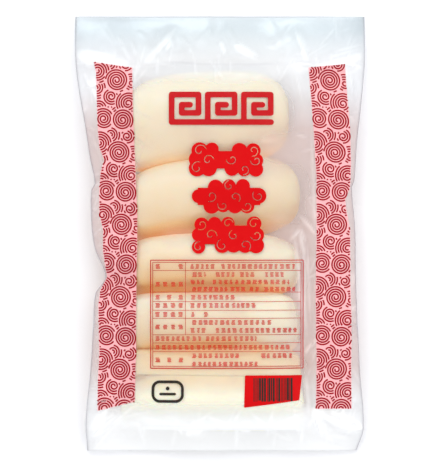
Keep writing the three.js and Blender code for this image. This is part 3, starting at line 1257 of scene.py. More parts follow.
@dataclass
class RollMaker:
    """Makes the six rolls from one Geometry Nodes tree, and presses them against one another.

    lump is how uneven a roll is, and swell and dent are the scale, detail and share of the noises that make
    it so. blend and lower_blend are how round it is pressed against the films. The shades are how much
    painted shade warms and darkens the skin, and the pairs are where a shade's change starts and ends.
    """

    film: BagFilm
    finish: SteamedDough
    around: int = 112
    along: int = 84
    flat_base: float = 0.86
    lump: float = 0.035
    least_shrink: float = 1.25
    swell: tuple[float, float, float] = (1.3, 2.0, 1.8)
    dent: tuple[float, float, float] = (4.2, 3.0, 0.8)
    seed_step: float = 3.7
    weld: float = 0.02
    core_length: float = 0.9
    contact_gap: float = -0.004
    contact_steps: int = 18
    film_space: float = 0.2
    blend: float = 3.0
    lower_blend: float = 1.5
    flank_shade: float = 0.5
    groove_shade: float = 0.75
    uphill_shade: float = 0.2
    free_shade: float = 0.42
    crevice: float = 0.62
    groove_start: float = 1.0
    full_depth: float = 10.0
    lowness: float = 1.3
    downhill: Point = (-0.35, 0.85)
    fading: Point = (5, 42)
    upper_shading: Point = (0.2, 0.95)
    # Where along a roll the painted shade of its right end starts and is full.
    end_shading: Point = (0.3, 1.0)
    material: Material = field(init=False)
    tree: Tree = field(init=False)

    def __post_init__(self) -> None:
        """Makes the dough's material and the tree."""
        self.material = self.finish.material()
        self.tree = self._tree()

    def _tree(self) -> Tree:
        """The tree that bends a flat grid round into a long bun in the roll's own directions.

        Returns:
            The tree.
        """
        tree, given = geometry_tree("steamed_roll", [
            ("Length", "Float", 0.1), ("Wide", "Float", 0.05), ("Thick", "Float", 0.04),
            ("Upper Left", "Float", 3.4), ("Lower Left", "Float", 3.4), ("Right", "Float", 3.4),
            ("Section", "Float", 2.0), ("Flat Base", "Float", self.flat_base), ("Lump", "Float", self.lump),
            ("Seed", "Float", 0.0), ("Material", "Material", None)])
        sheet = tree.get("GeometryNodeMeshGrid", "Mesh", None, {
            "Size X": 1.0, "Size Y": 1.0, "Vertices X": self.around + 1, "Vertices Y": self.along + 1})
        where = tree.node("ShaderNodeSeparateXYZ", None, {0: tree.get("GeometryNodeInputPosition")})
        around = Signal(tree, where.outputs[0]) * (2 * math.pi)
        along = Signal(tree, where.outputs[1]) * math.pi
        sine = along.math("SINE")
        upper = 0.5 + 0.5 * around.math("COSINE")
        left = given["Lower Left"] + (given["Upper Left"] - given["Lower Left"]) * upper
        power = 2.0 / (given["Right"] + (left - given["Right"]) * sine.math("LESS_THAN", 0.0))
        share = along.math("COSINE").math("MAXIMUM", 0.0) ** power
        bend = 2.0 / given["Section"]
        wide, thick = (self._squared(around.math(way), bend) * share for way in ("COSINE", "SINE"))
        thick = thick.math("MAXIMUM", given["Flat Base"] * share * -1.0)
        unit = tree.combined(self._squared(sine, power), wide, thick)
        moved = tree.vector("ADD", unit, tree.combined(given["Seed"], given["Seed"]))
        swell, dent = (amount * tree.noise(moved, scale, detail)
                       for scale, detail, amount in (self.swell, self.dent))
        shrink = 1.0 + given["Lump"] * (self.least_shrink - swell - dent)
        size = tree.combined(*(given[name] / 2.0 * shrink for name in ("Length", "Wide", "Thick")))
        bent = tree.get("GeometryNodeSetPosition", 0, None, {
            "Geometry": sheet, "Position": tree.vector("MULTIPLY", unit, size)})
        joined = tree.get("GeometryNodeMergeByDistance", 0, None,
                          {"Geometry": bent, "Distance": self.weld * MM})
        finish_tree(tree, joined, given["Material"])
        return tree

    @staticmethod
    def _squared(wave: Signal, power: Any) -> Signal:
        """A wave bent towards a square one by a power under 1, with its sign kept."""
        return wave.math("SIGN") * wave.math("ABSOLUTE") ** power

    def build(self) -> list[Object]:
        """All the rolls, placed, pressed together and given painted shade by how deep they lie.

        Returns:
            The rolls.
        """
        pieces = []
        for number, roll in enumerate(SHOWN_ROLLS):
            piece = grown(mesh_object(roll.name, np.zeros((1, 3)), []), self.tree, {
                "Length": roll.length * MM, "Wide": roll.wide * MM, "Thick": roll.thick * MM,
                "Upper Left": roll.upper_left, "Lower Left": roll.lower_left, "Right": roll.right,
                "Section": roll.section, "Flat Base": self.flat_base, "Lump": self.lump,
                "Seed": self.seed_step * number, "Material": self.material})
            self._settle(piece, number)
            pieces.append(piece)
        return pieces

    def _settle(self, piece: Object, number: int) -> None:
        """Places a roll, presses it flat where it meets its neighbours, and stores the numbers that paint its
        shade.

        Args:
            piece: The roll in its own directions.
            number: Which roll it is.
        """
        roll = SHOWN_ROLLS[number]
        mesh = piece.data
        own = point_values(mesh.vertices, "co").astype(float) / MM
        points = roll.placed(own)
        core = roll.placed(own * (self.core_length, 0, 0))
        for other in SHOWN_ROLLS[max(0, number - 1):number] + SHOWN_ROLLS[number + 1:number + 2]:
            points = self._pressed(roll, other, points, core)
        film, below = self.film.heights(points[:, 0], points[:, 1])
        points[:, 2] = smooth_most(points[:, 2], below + self.film_space, self.lower_blend)
        points[:, 2] = smooth_least(points[:, 2], film - self.film_space, self.blend)
        points[:, 2] = np.maximum(points[:, 2], below + self.film_space)
        mesh.vertices.foreach_set("co", (points * MM).astype(np.float32).ravel())
        shell = bmesh.new()
        shell.from_mesh(mesh)
        bmesh.ops.recalc_face_normals(shell, faces=shell.faces)
        shell.to_mesh(mesh)
        shell.free()
        mesh.shade_smooth()
        store_numbers(mesh, self._shades(roll, mesh, points, film))

    def _shades(self, roll: Roll, mesh: bpy.types.Mesh, points: Array, film: Array) -> dict[str, Array]:
        """The numbers from 0 to 1 that paint shade on a roll's skin at each point.

        Args:
            roll: The roll.
            mesh: Its mesh.
            points: Its points.
            film: The film's height above them.

        Returns:
            How far its painted shade and own tone take it along the dough's tones, how deep in a groove
            between rolls it lies, which sets its painted glow, and how much painted shade darkens its right
            end.
        """
        # Painted shade falls on skin that faces down the bag, away from the key light, and in the grooves.
        downhill = smoothstep(-point_values(mesh.vertices, "normal")[:, 1], *self.downhill)
        away = np.min([other.fullness(points) for other in SHOWN_ROLLS if other is not roll], axis=0) - 1
        near = self.free_shade + (1 - self.free_shade) * (1 - smoothstep(away, 0.0, self.crevice))
        groove = near * np.clip((film - points[:, 2] - self.groove_start) / self.full_depth, 0, 1)
        along, across = roll.plan(points[:, 0], points[:, 1])
        lowness = np.clip(0.5 - across / 2, 0, 1) ** self.lowness
        faded = 1 - roll.fade * smoothstep(points[:, 0], *self.fading)
        # Painted shade on the lower flank and in the grooves, and some on the upper flank.
        lower = roll.lower_shade * faded * (self.groove_shade * downhill * groove + self.flank_shade * lowness)
        upper_shaded = roll.upper_shade * smoothstep(across, *self.upper_shading)
        upper = (1 - downhill) * self.uphill_shade * groove + upper_shaded
        return {"depth": np.clip(lower + upper + roll.tone_and_shade, 0, 1), "groove": np.clip(groove, 0, 1),
                "dull": roll.dull * smoothstep(along, *self.end_shading)}

    def _pressed(self, roll: Roll, other: Roll, points: Array, core: Array) -> Array:
        """Draws in the points of a roll that lie past the surface where it meets another.

        Args:
            roll: The roll that the points are on.
            other: The roll that it meets.
            points: The points.
            core: The point on the roll's spine that each is drawn towards.

        Returns:
            The points, moved where needed.
        """
        low, high = np.zeros(len(points)), np.ones(len(points))
        for _ in range(self.contact_steps):
            middle = (low + high) / 2
            tried = core + middle[:, None] * (points - core)
            clear = roll.fullness(tried) <= other.fullness(tried) - self.contact_gap
            low, high = np.where(clear, middle, low), np.where(clear, high, middle)
        past = roll.fullness(points) > other.fullness(points) - self.contact_gap
        return np.where(past[:, None], core + low[:, None] * (points - core), points)


def filled_shape(inside: Callable[[Array, Array], Array], box: tuple[float, float, float, float],
                 cell: float) -> Drawing:
    """A flat mesh of where a function is above zero, by marching squares.

    Args:
        inside: The function of x and y.
        box: The lowest and highest x, and the lowest and highest y.
        cell: The size of a cell.

    Returns:
        The points and the faces.
    """
    nx, ny = (max(2, round((b - a) / cell)) for a, b in (box[:2], box[2:]))
    xs, ys = np.linspace(box[0], box[1], nx + 1), np.linspace(box[2], box[3], ny + 1)
    value = inside(*np.meshgrid(xs, ys))
    index: dict[tuple, int] = {}
    points: list[tuple[float, float, float]] = []

    def point(a: tuple[int, int], b: tuple[int, int]) -> int:
        """The point at corner a, or where the edge from a to b crosses the outline.

        Args:
            a: A corner's row and column.
            b: The same corner, or one beside it.

        Returns:
            The point's number.
        """
        key = (min(a, b), max(a, b))
        if key not in index:
            va, vb = value[a], value[b]
            t = 0.0 if a == b else va / (va - vb)
            index[key] = len(points)
            points.append((xs[a[1]] + t * (xs[b[1]] - xs[a[1]]), ys[a[0]] + t * (ys[b[0]] - ys[a[0]]), 0.0))
        return index[key]

    faces = []
    filled = value > 0
    some = filled[:-1, :-1] | filled[:-1, 1:] | filled[1:, :-1] | filled[1:, 1:]
    for j, i in np.argwhere(some).tolist():
        ring = [(j, i), (j, i + 1), (j + 1, i + 1), (j + 1, i)]
        face = []
        for a, b in zip(ring, ring[1:] + ring[:1]):
            if filled[a]:
                face.append(point(a, a))
            if filled[a] != filled[b]:
                face.append(point(a, b))
        if len(face) > 2:
            faces.append(face)
    return np.array(points), faces


def near_path(x: Array, y: Array, path: Sequence[Point], half: float) -> Array:
    """How far inside a thick line each point is.

    Args:
        x: Where it is read.
        y: Where it is read.
        path: The line's points.
        half: Half of its width.

    Returns:
        Half the width less the distance to the line.
    """
    best = np.full(np.shape(x), np.inf)
    for (ax, ay), (bx, by) in zip(path, path[1:]):
        dx, dy = bx - ax, by - ay
        t = np.clip(((x - ax) * dx + (y - ay) * dy) / max(dx * dx + dy * dy, 1e-9), 0, 1)
        best = np.minimum(best, np.hypot(x - ax - t * dx, y - ay - t * dy))
    return half - best


@dataclass
class Press:
    """Lays flat drawings on the upper film: filled shapes as they are, and lines as ribbons of their width.

    Each drawing is dropped from drop_from, well above the film.
    """

    film: Object
    drop_from: float = 120.0
    shapes: Tree = field(init=False)
    lines: Tree = field(init=False)

    def __post_init__(self) -> None:
        """Builds both trees."""
        self.shapes = self._tree("print_shapes", False)
        self.lines = self._tree("print_lines", True)

    def _tree(self, name: str, ribbons: bool) -> Tree:
        """A tree that drops its geometry on the film, after sweeping lines into ribbons where asked.

        Args:
            name: Its name.
            ribbons: Whether it sweeps lines.

        Returns:
            The tree.
        """
        tree, given = geometry_tree(name, [
            ("Film", "Object", None), ("Material", "Material", None), ("Lift", "Float", 0.1 * MM),
            ("Drop From", "Float", self.drop_from * MM)])
        drawing = self._ribbons(tree, given["Geometry"]) if ribbons else given["Geometry"]
        film = tree.get("GeometryNodeObjectInfo", "Geometry", {"transform_space": "RELATIVE"},
                        {"Object": given["Film"]})
        above = tree.combined(0.0, 0.0, given["Drop From"])
        ray = tree.node("GeometryNodeRaycast", None, {
            "Target Geometry": film, "Ray Direction": (0.0, 0.0, -1.0), "Ray Length": 1.0,
            "Source Position": tree.vector("ADD", tree.get("GeometryNodeInputPosition"), above)})
        hit, normal, place = (
            Signal(tree, ray.outputs[label]) for label in ("Is Hit", "Hit Normal", "Hit Position"))
        raised = tree.get("ShaderNodeVectorMath", 0, {"operation": "SCALE"},
                          {0: normal, "Scale": given["Lift"]})
        missed = tree.get("FunctionNodeBooleanMath", 0, {"operation": "NOT"}, {0: hit})
        kept = tree.get("GeometryNodeDeleteGeometry", 0, {"domain": "POINT"},
                        {"Geometry": drawing, "Selection": missed})
        laid = tree.get("GeometryNodeSetPosition", 0, None, {
            "Geometry": kept, "Position": tree.vector("ADD", place, raised)})
        finish_tree(tree, laid, given["Material"])
        return tree

    @staticmethod
    def _ribbons(tree: Tree, lines: Signal) -> Signal:
        """Flat ribbons along a mesh's edges, as wide as the number "width" on its points says.

        Args:
            tree: The tree that makes them.
            lines: The mesh.

        Returns:
            The ribbons.
        """
        curve = tree.get("GeometryNodeMeshToCurve", 0, None, {"Mesh": lines})
        level = tree.get("GeometryNodeSetCurveNormal", 0, {"mode": "Z_UP"}, {"Curve": curve})
        width = tree.get("GeometryNodeInputNamedAttribute", 0, {"data_type": "FLOAT"}, {"Name": "width"})
        profile = tree.get("GeometryNodeCurvePrimitiveLine", 0, None,
                           {"Start": (-0.5 * MM, 0.0, 0.0), "End": (0.5 * MM, 0.0, 0.0)})
        return tree.get("GeometryNodeCurveToMesh", 0, None,
                        {"Curve": level, "Profile Curve": profile, "Scale": width})

    def shape(self, name: str, drawing: Drawing, ink: Material, lift: float) -> Object:
        """A filled drawing laid on the film as a piece of this name and ink, lift millimetres off it."""
        return self._laid(mesh_object(name, *drawing), self.shapes, ink, lift)

    def line_work(self, name: str, runs: Sequence[Run], ink: Material, lift: float) -> Object:
        """Lines laid on the film as one piece.

        Args:
            name: The piece's name.
            runs: Each line's points and its width.
            ink: Its material.
            lift: How far off the film it lies.

        Returns:
            The piece.
        """
        points, edges, widths = [], [], []
        for run, width in runs:
            edges += [(len(points) + k, len(points) + k + 1) for k in range(len(run) - 1)]
            points += [(x, y, 0.0) for x, y in run]
            widths += [width] * len(run)
        flat = mesh_object(name, np.array(points), [], edges, {"width": np.array(widths)})
        return self._laid(flat, self.lines, ink, lift)

    def _laid(self, flat: Object, tree: Tree, ink: Material, lift: float) -> Object:
        """A flat drawing laid on the film, facing up.

        Args:
            flat: The drawing.
            tree: The tree that lays it.
            ink: Its material.
            lift: How far off the film it lies.

        Returns:
            The same object, laid.
        """
        piece = grown(flat, tree, {
            "Film": self.film, "Lift": lift * MM, "Drop From": self.drop_from * MM, "Material": ink})
        mesh = piece.data
        if sum(face.normal.z for face in mesh.polygons) < 0:
            mesh.flip_normals()
        mesh.shade_smooth()
        return piece


@dataclass(frozen=True)
class Scroll:
    """A spiral line: whole out to its radius, and on through its halo wherever no other scroll hides it.

    start is the angle that it starts at, in radians, and hand is which way it turns.
    """

    x: float
    y: float
    radius: float
    start: float
    hand: int
    halo: float = 7.0

    @property
    def reach(self) -> float:
        """How far out the spiral goes."""
        return self.radius + self.halo


SCROLL_TILE = tuple(Scroll(*row) for row in (
    (9.3, -1.7, 5.9, 4.0, 1), (-11.8, -17.2, 6.9, 1.0, -1), (-12.8, -4.6, 7.4, 2.2, 1),
    (5.5, -34.8, 5.4, 0.4, 1), (-4.8, -33.4, 6.2, 5.0, -1), (-3.6, -10.0, 5.4, 3.1, 1),
    (-8.8, -23.8, 6.6, 0.9, 1), (7.0, -14.5, 7.6, 2.6, -1), (-11.8, 6.1, 7.4, 4.4, -1),
    (3.1, -24.7, 6.6, 1.7, -1), (0.0, 0.0, 6.9, 5.6, 1),
))


@dataclass
class ScrollBand:
    """A band of close-set scrolls down one side of the bag, cut from a repeating pattern at its edges.

    inner and outer are its edges' stations, as y and x, and top and bottom its ends' heights at both edges.
    inset is how far the pattern's middle lies outwards from the inner edge. spacing is the gap between two
    scrolls' lines, as a share of the pitch. A line starts at the share first of its scroll's area. Scrolls
    further apart than far don't meet.
    """

    side: Side
    inner: tuple[Point, ...]
    outer: tuple[Point, ...]
    top: tuple[float, float]
    bottom: tuple[float, float]
    inset: float
    repeat: float = 44.8
    phase: float = 5.3
    pitch: float = 1.5
    spacing: float = 0.56
    first: float = 0.003
    line: float = 0.92
    step: float = 0.42
    far: float = 26

    def scrolls(self) -> list[Scroll]:
        """The pattern's scrolls all down the band, from the lowest layer to the uppermost."""
        shifts = [self.phase + self.repeat * k for k in range(-3, 4)]
        return [replace(scroll, y=scroll.y + shift) for scroll in SCROLL_TILE for shift in shifts]

    def edge(self, stations: tuple[Point, ...], y: Array) -> Array:
        """An edge's x at y, through its stations from the top down."""
        places, values = np.array(stations, float)[::-1].T
        return np.interp(y, places, values)

    def ends(self, across: Array) -> tuple[Array, Array]:
        """The heights of the band's lower and upper end, at a share of the way across it."""
        return tuple(a + (b - a) * across for a, b in (self.bottom, self.top))

    def runs(self) -> list[Run]:
        """The band's lines, cut where another scroll or the band's edge hides them.

        Returns:
            Each line's points and its width.
        """
        scrolls = self.scrolls()
        clear = self.spacing * self.pitch
        found = []
        for number, scroll in enumerate(scrolls):
            count = int(math.pi * scroll.reach ** 2 / self.pitch / self.step)
            out = scroll.reach * np.sqrt(np.linspace(self.first, 1, count))
            angle = scroll.start + scroll.hand * out / self.pitch * 2 * math.pi
            u, y = scroll.x + out * np.cos(angle), scroll.y + out * np.sin(angle)
            shown = np.ones(count, bool)
            for order, other in enumerate(scrolls):
                if other is scroll or math.dist((other.x, other.y), (scroll.x, scroll.y)) > self.far:
                    continue
                away = np.hypot(u - other.x, y - other.y)
                hidden = away < other.radius + clear
                if order > number:
                    shown &= ~hidden
                    hidden = away < other.reach + clear
                shown &= ~(hidden & (out > scroll.radius))
            inner = self.edge(self.inner, y)
            x = inner + self.side.value * self.inset + u
            across = (x - inner) / (self.edge(self.outer, y) - inner)
            low, high = self.ends(across)
            shown &= (across > 0) & (across < 1) & (y > low) & (y < high)
            found += self._stretches(x, y, shown)
        return found

    def _stretches(self, x: Array, y: Array, shown: Array) -> list[Run]:
        """The shown stretches of one line.

        Args:
            x: The line's x.
            y: The line's y.
            shown: Whether each of its points shows.

        Returns:
            Each stretch's points and its width.
        """
        ends = np.flatnonzero(np.diff(np.concatenate([[0], shown.astype(int), [0]])))
        return [(list(zip(x[a:b].tolist(), y[a:b].tolist())), self.line)
                for a, b in zip(ends[::2], ends[1::2]) if b - a > 2]

    def ground(self, step: float = 1.0) -> Drawing:
        """The band's tinted ground, as a grid from edge to edge.

        Args:
            step: About how large its cells are.

        Returns:
            Its points and faces.
        """
        rows = int((self.top[1] - self.bottom[1]) / step)
        columns = int(abs(self.outer[0][1] - self.inner[0][1]) / step)
        share = np.linspace(0, 1, columns + 1)[None, :]
        low, high = self.ends(share)
        y = low + (high - low) * np.linspace(0, 1, rows + 1)[:, None]
        inner, outer = self.edge(self.inner, y), self.edge(self.outer, y)
        x = inner + (outer - inner) * share
        points = np.stack([x, y, np.zeros_like(x)], axis=-1).reshape(-1, 3)
        return points, grid_faces(rows + 1, columns + 1).tolist()


LEFT_BAND = ScrollBand(
    Side.LEFT,
    inner=((110, -54.5), (64, -53.1), (33, -51.8), (12, -50.9), (-8, -50.9), (-29, -51.4), (-70, -51.6),
           (-112, -52.6)),
    outer=((107, -78.4), (100, -77), (64, -75.6), (53, -74.7), (45.4, -71.6), (38, -74), (28, -74.7),
           (12, -74.7), (2, -72.2), (-11, -72.4), (-26.8, -69.9), (-35, -74), (-44, -75.3), (-75, -74.7),
           (-90, -75.6), (-112, -75.9)),
    top=(102.9, 106.4), bottom=(-103.8, -110), inset=9.9)
RIGHT_BAND = ScrollBand(
    Side.RIGHT,
    inner=((110, 54.3), (64, 58), (33, 59.7), (2, 59.7), (-39, 59.1), (-80, 59.7), (-112, 59.2)),
    outer=((107, 77.4), (64, 80.7), (43.5, 81.3), (28.7, 80.7), (20.7, 77.6), (12.6, 78.7), (2, 80.7),
           (-29, 80.7), (-49, 81.4), (-80, 81.4), (-112, 81.8)),
    top=(102.9, 105.2), bottom=(-108.6, -108.9), inset=12.5)


@dataclass
class FretOrnament:
    """A strip of three square scrolls over a base line, in thick strokes.

    eye is how far a scroll's inner strokes keep from its left and its right side, and tiers are how high they
    lie over the base line, which ends short of the right side.
    """

    left: float = -31.5
    right: float = 35.2
    low: float = 66.9
    high: float = 87.3
    stroke: float = 3.5
    count: int = 3
    gap: float = 2.2
    eye: Point = (6.2, 5.2)
    tiers: Point = (5.6, 10.6)
    short: float = 2
    cell: float = 0.5

    def drawing(self) -> Drawing:
        """The strip as one filled shape.

        Returns:
            Its points and faces.
        """
        unit = (self.right - self.left) / self.count
        half = self.stroke / 2
        y0, y1 = self.low + half, self.high - half
        lower, upper = (y0 + tier for tier in self.tiers)
        paths = [[(self.left + half, y0), (self.right - half - self.short, y0)]]
        for k in range(self.count):
            x0 = self.left + k * unit + half
            x1 = x0 + unit - self.stroke - self.gap
            paths.append([(x0, y0), (x0, y1), (x1, y1), (x1, lower), (x0 + self.eye[0], lower),
                          (x0 + self.eye[0], upper), (x1 - self.eye[1], upper)])
        return filled_shape(
            lambda x, y: np.max([near_path(x, y, path, half) for path in paths], axis=0),
            (self.left - 1, self.right + 1, self.low - 1, self.high + 1), self.cell)


@dataclass
class CloudOrnament:
    """A plump cloud of lobes in three rows, with a fine pale curl in each lobe.

    bare holds the row and column of each place that is left without a lobe. core is the size of the rectangle
    behind the lobes, as shares of the cloud's, and top_inset is how much shorter the top row is at each end.
    A curl turns by curl_turn degrees, from curl_out of its lobe's radius inwards by curl_in of it.
    """

    middle: Point
    half_wide: float
    half_high: float
    seed: int
    columns: int = 6
    bare: tuple[tuple[int, int], ...] = ()
    lobe: float = 4.7
    lobe_shares: Point = (0.86, 1.1)
    jitter: float = 0.5
    slit: float = 0.24
    curl_turn: float = 330
    curl_out: float = 0.8
    curl_in: float = 0.62
    curl_points: int = 16
    core: Point = (0.84, 0.52)
    top_inset: float = 1.6
    cell: float = 0.4

    def drawing(self) -> Drawing:
        """The cloud as one filled shape with its curls left open.

        Returns:
            Its points and faces.
        """
        draw = random.Random(self.seed)
        cx, cy = self.middle
        core_wide, core_high = self.core[0] * self.half_wide, self.core[1] * self.half_high
        lobes, slits = [], []
        for row in range(3):
            columns = self.columns - (row == 0)
            for column in range(columns):
                radius = self.lobe * draw.uniform(*self.lobe_shares)
                across = 2 * column / (columns - 1) - 1
                x = cx + across * (self.half_wide - radius - (self.top_inset if row == 0 else 0))
                y = cy + (1 - row) * (self.half_high - radius) + draw.uniform(-self.jitter, self.jitter)
                start = draw.uniform(0, 360)
                if (row, column) in self.bare:
                    continue
                lobes.append(((x, y), radius))
                if (row + column) % 2 == 0:
                    slits.append(self._curl((x, y), radius, start))

        def inside(x: Array, y: Array) -> Array:
            """Above zero in the core and the lobes, and below it in the curls.

            Args:
                x: Where it is read.
                y: Where it is read.

            Returns:
                How far inside the ink each place lies.
            """
            plump = [np.minimum(core_wide - np.abs(x - cx), core_high - np.abs(y - cy))]
            plump += [radius - np.hypot(x - px, y - py) for (px, py), radius in lobes]
            curls = [-near_path(x, y, path, self.slit) for path in slits]
            return np.min([np.max(plump, axis=0)] + curls, axis=0)

        wide, high = self.half_wide + 1, self.half_high + 1
        return filled_shape(inside, (cx - wide, cx + wide, cy - high, cy + high), self.cell)

    def _curl(self, middle: Point, radius: float, start: float) -> list[Point]:
        """A line that curls inwards.

        Args:
            middle: Its middle.
            radius: The radius of the lobe that it lies in.
            start: Where it starts, in degrees.

        Returns:
            The line's points.
        """
        shares = np.linspace(0, 1, self.curl_points)
        angles = np.radians(start + self.curl_turn * shares)
        out = radius * (self.curl_out - self.curl_in * shares)
        x, y = middle[0] + out * np.cos(angles), middle[1] + out * np.sin(angles)
        return list(zip(x.tolist(), y.tolist()))


CLOUDS = (
    CloudOrnament((3.7, 45.3), 22.9, 10.4, 2, bare=((0, 2), (2, 2))),
    CloudOrnament((5.6, 22.8), 22.9, 10.2, 3, bare=((0, 0), (2, 0), (0, 4), (2, 5))),
    CloudOrnament((4.9, -0.9), 22.2, 11.1, 7, bare=((0, 3), (2, 1))),
)


def stepped(start: Point, end: Point, step: float = 1.2) -> list[Point]:
    """A straight line in short steps, so that it can follow the film."""
    count = max(2, int(math.dist(start, end) / step))
    return [tuple(p) for p in np.linspace(start, end, count + 1).tolist()]


@dataclass
class RuledPanel:
    """A double frame with ruled rows, and plain dashes in small blocks along them.

    rows are each row's height and where its dashes start and end, and labels are the heights of the blocks
    left of the divider, and how many there are. frames are both frames' insets and line widths. levels are
    the strokes of a block, in dashes from its middle, and breaks are the gaps between blocks.
    """

    left: float = -42.6
    right: float = 51.2
    high: float = -16.4
    low: float = -83.0
    divider: float = -21.2
    rules: tuple[float, ...] = (-22.7, -36.1, -41.9, -47.2, -52.1, -62.2, -67.3, -72.7)
    rows: tuple[tuple[float, tuple[Point, ...]], ...] = (
        (-20.2, ((-18.2, -3.3), (0.8, 46.6))),
        (-25.2, ((-17.2, -8.4), (-2.8, 9.1), (12.1, 22.9), (27.6, 40.9))),
        (-29.8, ((-18.2, -8.8), (-4.8, 42.8))),
        (-34.2, ((-17.2, 16.2), (18.1, 24.0), (27.0, 46.6))),
        (-39.2, ((-17.8, 9.1),)),
        (-44.2, ((-18.2, 22.9),)),
        (-49.7, ((-17.8, -14.4), (-10.0, -6.4))),
        (-54.6, ((-17.2, 31.7),)),
        (-59.5, ((-18.2, -8.4), (-2.8, 47.6))),
        (-64.6, ((-39.8, -11.5), (-8.9, 22.9))),
        (-70.0, ((-39.8, 44.0),)),
        (-75.2, ((-17.2, 12.1), (25.3, 46.6))),
        (-80.3, ((-17.2, 23.3),)),
    )
    labels: tuple[tuple[float, int], ...] = (
        (-20.2, 2), (-31.2, 4), (-39.2, 3), (-44.2, 4), (-49.7, 4), (-57.4, 4), (-77.8, 3))
    label_span: Point = (-39.8, -22.6)
    label_wide: float = 3.0
    frames: tuple[Point, ...] = ((0.0, 0.55), (1.3, 0.35))
    rule: float = 0.3
    divided_rows: int = 5
    dash: float = 0.74
    levels: tuple[float, ...] = (-1.5, -0.5, 0.5, 1.5)
    stroke: float = 0.46
    stroke_inset: float = 0.6
    stroke_step: float = 0.9
    widths: Point = (2.1, 3.0)
    breaks: tuple[float, ...] = (0.6, 0.6, 0.8, 1.2)
    least: float = 1.5
    seed: int = 4

    def lines(self) -> list[Run]:
        """The frame and the rules.

        Returns:
            Each line's points and its width.
        """
        runs = []
        for inset, width in self.frames:
            x0, x1, y0, y1 = self.left + inset, self.right - inset, self.low + inset, self.high - inset
            corners = [(x0, y0), (x1, y0), (x1, y1), (x0, y1), (x0, y0)]
            runs += [(stepped(a, b), width) for a, b in zip(corners, corners[1:])]
        runs += [(stepped((x0, y), (x1, y)), self.rule) for y in self.rules]
        runs.append((stepped((self.divider, y1), (self.divider, self.rules[self.divided_rows])), self.rule))
        return runs

    def dashes(self) -> list[Run]:
        """Rows of small blocks of fine strokes.

        Returns:
            Each stroke's points and its width.
        """
        draw = random.Random(self.seed)
        runs = []
        for y, spans in self.rows:
            for start, end in spans:
                x = start
                while x < end - self.least:
                    wide = min(draw.uniform(*self.widths), end - x)
                    runs += self._block(draw, x, wide, y)
                    x += wide + draw.choice(self.breaks)
        for y, count in self.labels:
            first, last = self.label_span
            for start in np.linspace(first, last - self.label_wide, count).tolist():
                runs += self._block(draw, start, self.label_wide, y)
        return runs

    def _block(self, draw: random.Random, start: float, wide: float, y: float) -> list[Run]:
        """One small block of strokes.

        Args:
            draw: The random numbers to draw from.
            start: Its left side.
            wide: How wide it is.
            y: Its middle.

        Returns:
            Each stroke's points and its width.
        """
        runs = []
        for level in self.levels:
            first = start + draw.uniform(0, self.stroke_inset)
            last = start + wide - draw.uniform(0, self.stroke_inset)
            line = y + level * self.dash
            runs.append((stepped((first, line), (last, line), self.stroke_step), self.stroke))
        return runs


@dataclass
class StripedField:
    """A red field with upright dark stripes.

    stripes are where they start and end, and their lower and upper ends. widths, gaps and dips are what each
    stripe's width, the space after it and how much shorter it is are drawn from.
    """

    corners: tuple[Point, ...] = ((15.4, -87.3), (50.6, -87.3), (48.7, -102.7), (14.8, -107.0))
    box: tuple[float, float, float, float] = (13.5, 52, -108.5, -86)
    cell: float = 0.6
    stripes: tuple[float, float, float, float] = (20.6, 44.6, -103.2, -89.0)
    widths: tuple[float, ...] = (0.4, 0.4, 0.8, 1.2)
    gaps: tuple[float, ...] = (0.35, 0.35, 0.7)
    dips: tuple[float, ...] = (0, 0, 0.6)
    points: int = 14
    seed: int = 8

    def field(self) -> Drawing:
        """The field as a filled shape.

        Returns:
            Its points and faces.
        """
        ring = list(self.corners)

        def inside(x: Array, y: Array) -> Array:
            """The least distance inside any side of the field, which runs clockwise."""
            sides = [((x - ax) * (by - ay) - (y - ay) * (bx - ax)) / math.hypot(bx - ax, by - ay)
                     for (ax, ay), (bx, by) in zip(ring, ring[1:] + ring[:1])]
            return np.min(sides, axis=0)

        return filled_shape(inside, self.box, self.cell)

    def bars(self) -> list[Run]:
        """The stripes, in plain uneven widths.

        Returns:
            Each stripe's points and its width.
        """
        draw = random.Random(self.seed)
        left, right, bottom, top = self.stripes
        x, runs = left, []
        while x < right:
            width = draw.choice(self.widths)
            low = bottom + draw.choice(self.dips)
            runs.append(([(x + width / 2, y) for y in np.linspace(low, top, self.points).tolist()], width))
            x += width + draw.choice(self.gaps)
        return runs


@dataclass
class RoundedMark:
    """A plain rounded ring with a bar and a dot in it.

    bar is half of the bar's length, how far it lies below the middle, and half of its thickness. dot is the
    dot's radius and how far it lies above the middle.
    """

    left: float = -42.0
    right: float = -22.2
    high: float = -90.4
    low: float = -104.0
    stroke: float = 1.7
    corner: float = 4.2
    bar: tuple[float, float, float] = (4.4, 1.5, 0.75)
    dot: Point = (1.15, 1.9)
    cell: float = 0.4

    def drawing(self) -> Drawing:
        """The mark as one filled shape.

        Returns:
            Its points and faces.
        """
        cx, cy = (self.left + self.right) / 2, (self.low + self.high) / 2
        hx, hy = (self.right - self.left) / 2, (self.high - self.low) / 2
        half = self.stroke / 2
        reach, below, thick = self.bar
        radius, above = self.dot

        def inside(x: Array, y: Array) -> Array:
            """Above zero on the ring, the bar and the dot.

            Args:
                x: Where it is read.
                y: Where it is read.

            Returns:
                One number for each place.
            """
            dx = np.abs(x - cx) - (hx - half - self.corner)
            dy = np.abs(y - cy) - (hy - half - self.corner)
            outside = np.hypot(np.maximum(dx, 0), np.maximum(dy, 0)) + np.minimum(np.maximum(dx, dy), 0)
            ring = half - np.abs(outside - self.corner)
            bar = near_path(x, y, [(cx - reach, cy - below), (cx + reach, cy - below)], thick)
            dot = radius - np.hypot(x - cx, y - cy - above)
            return np.max([ring, bar, dot], axis=0)

        return filled_shape(inside, (self.left - 1, self.right + 1, self.low - 1, self.high + 1), self.cell)


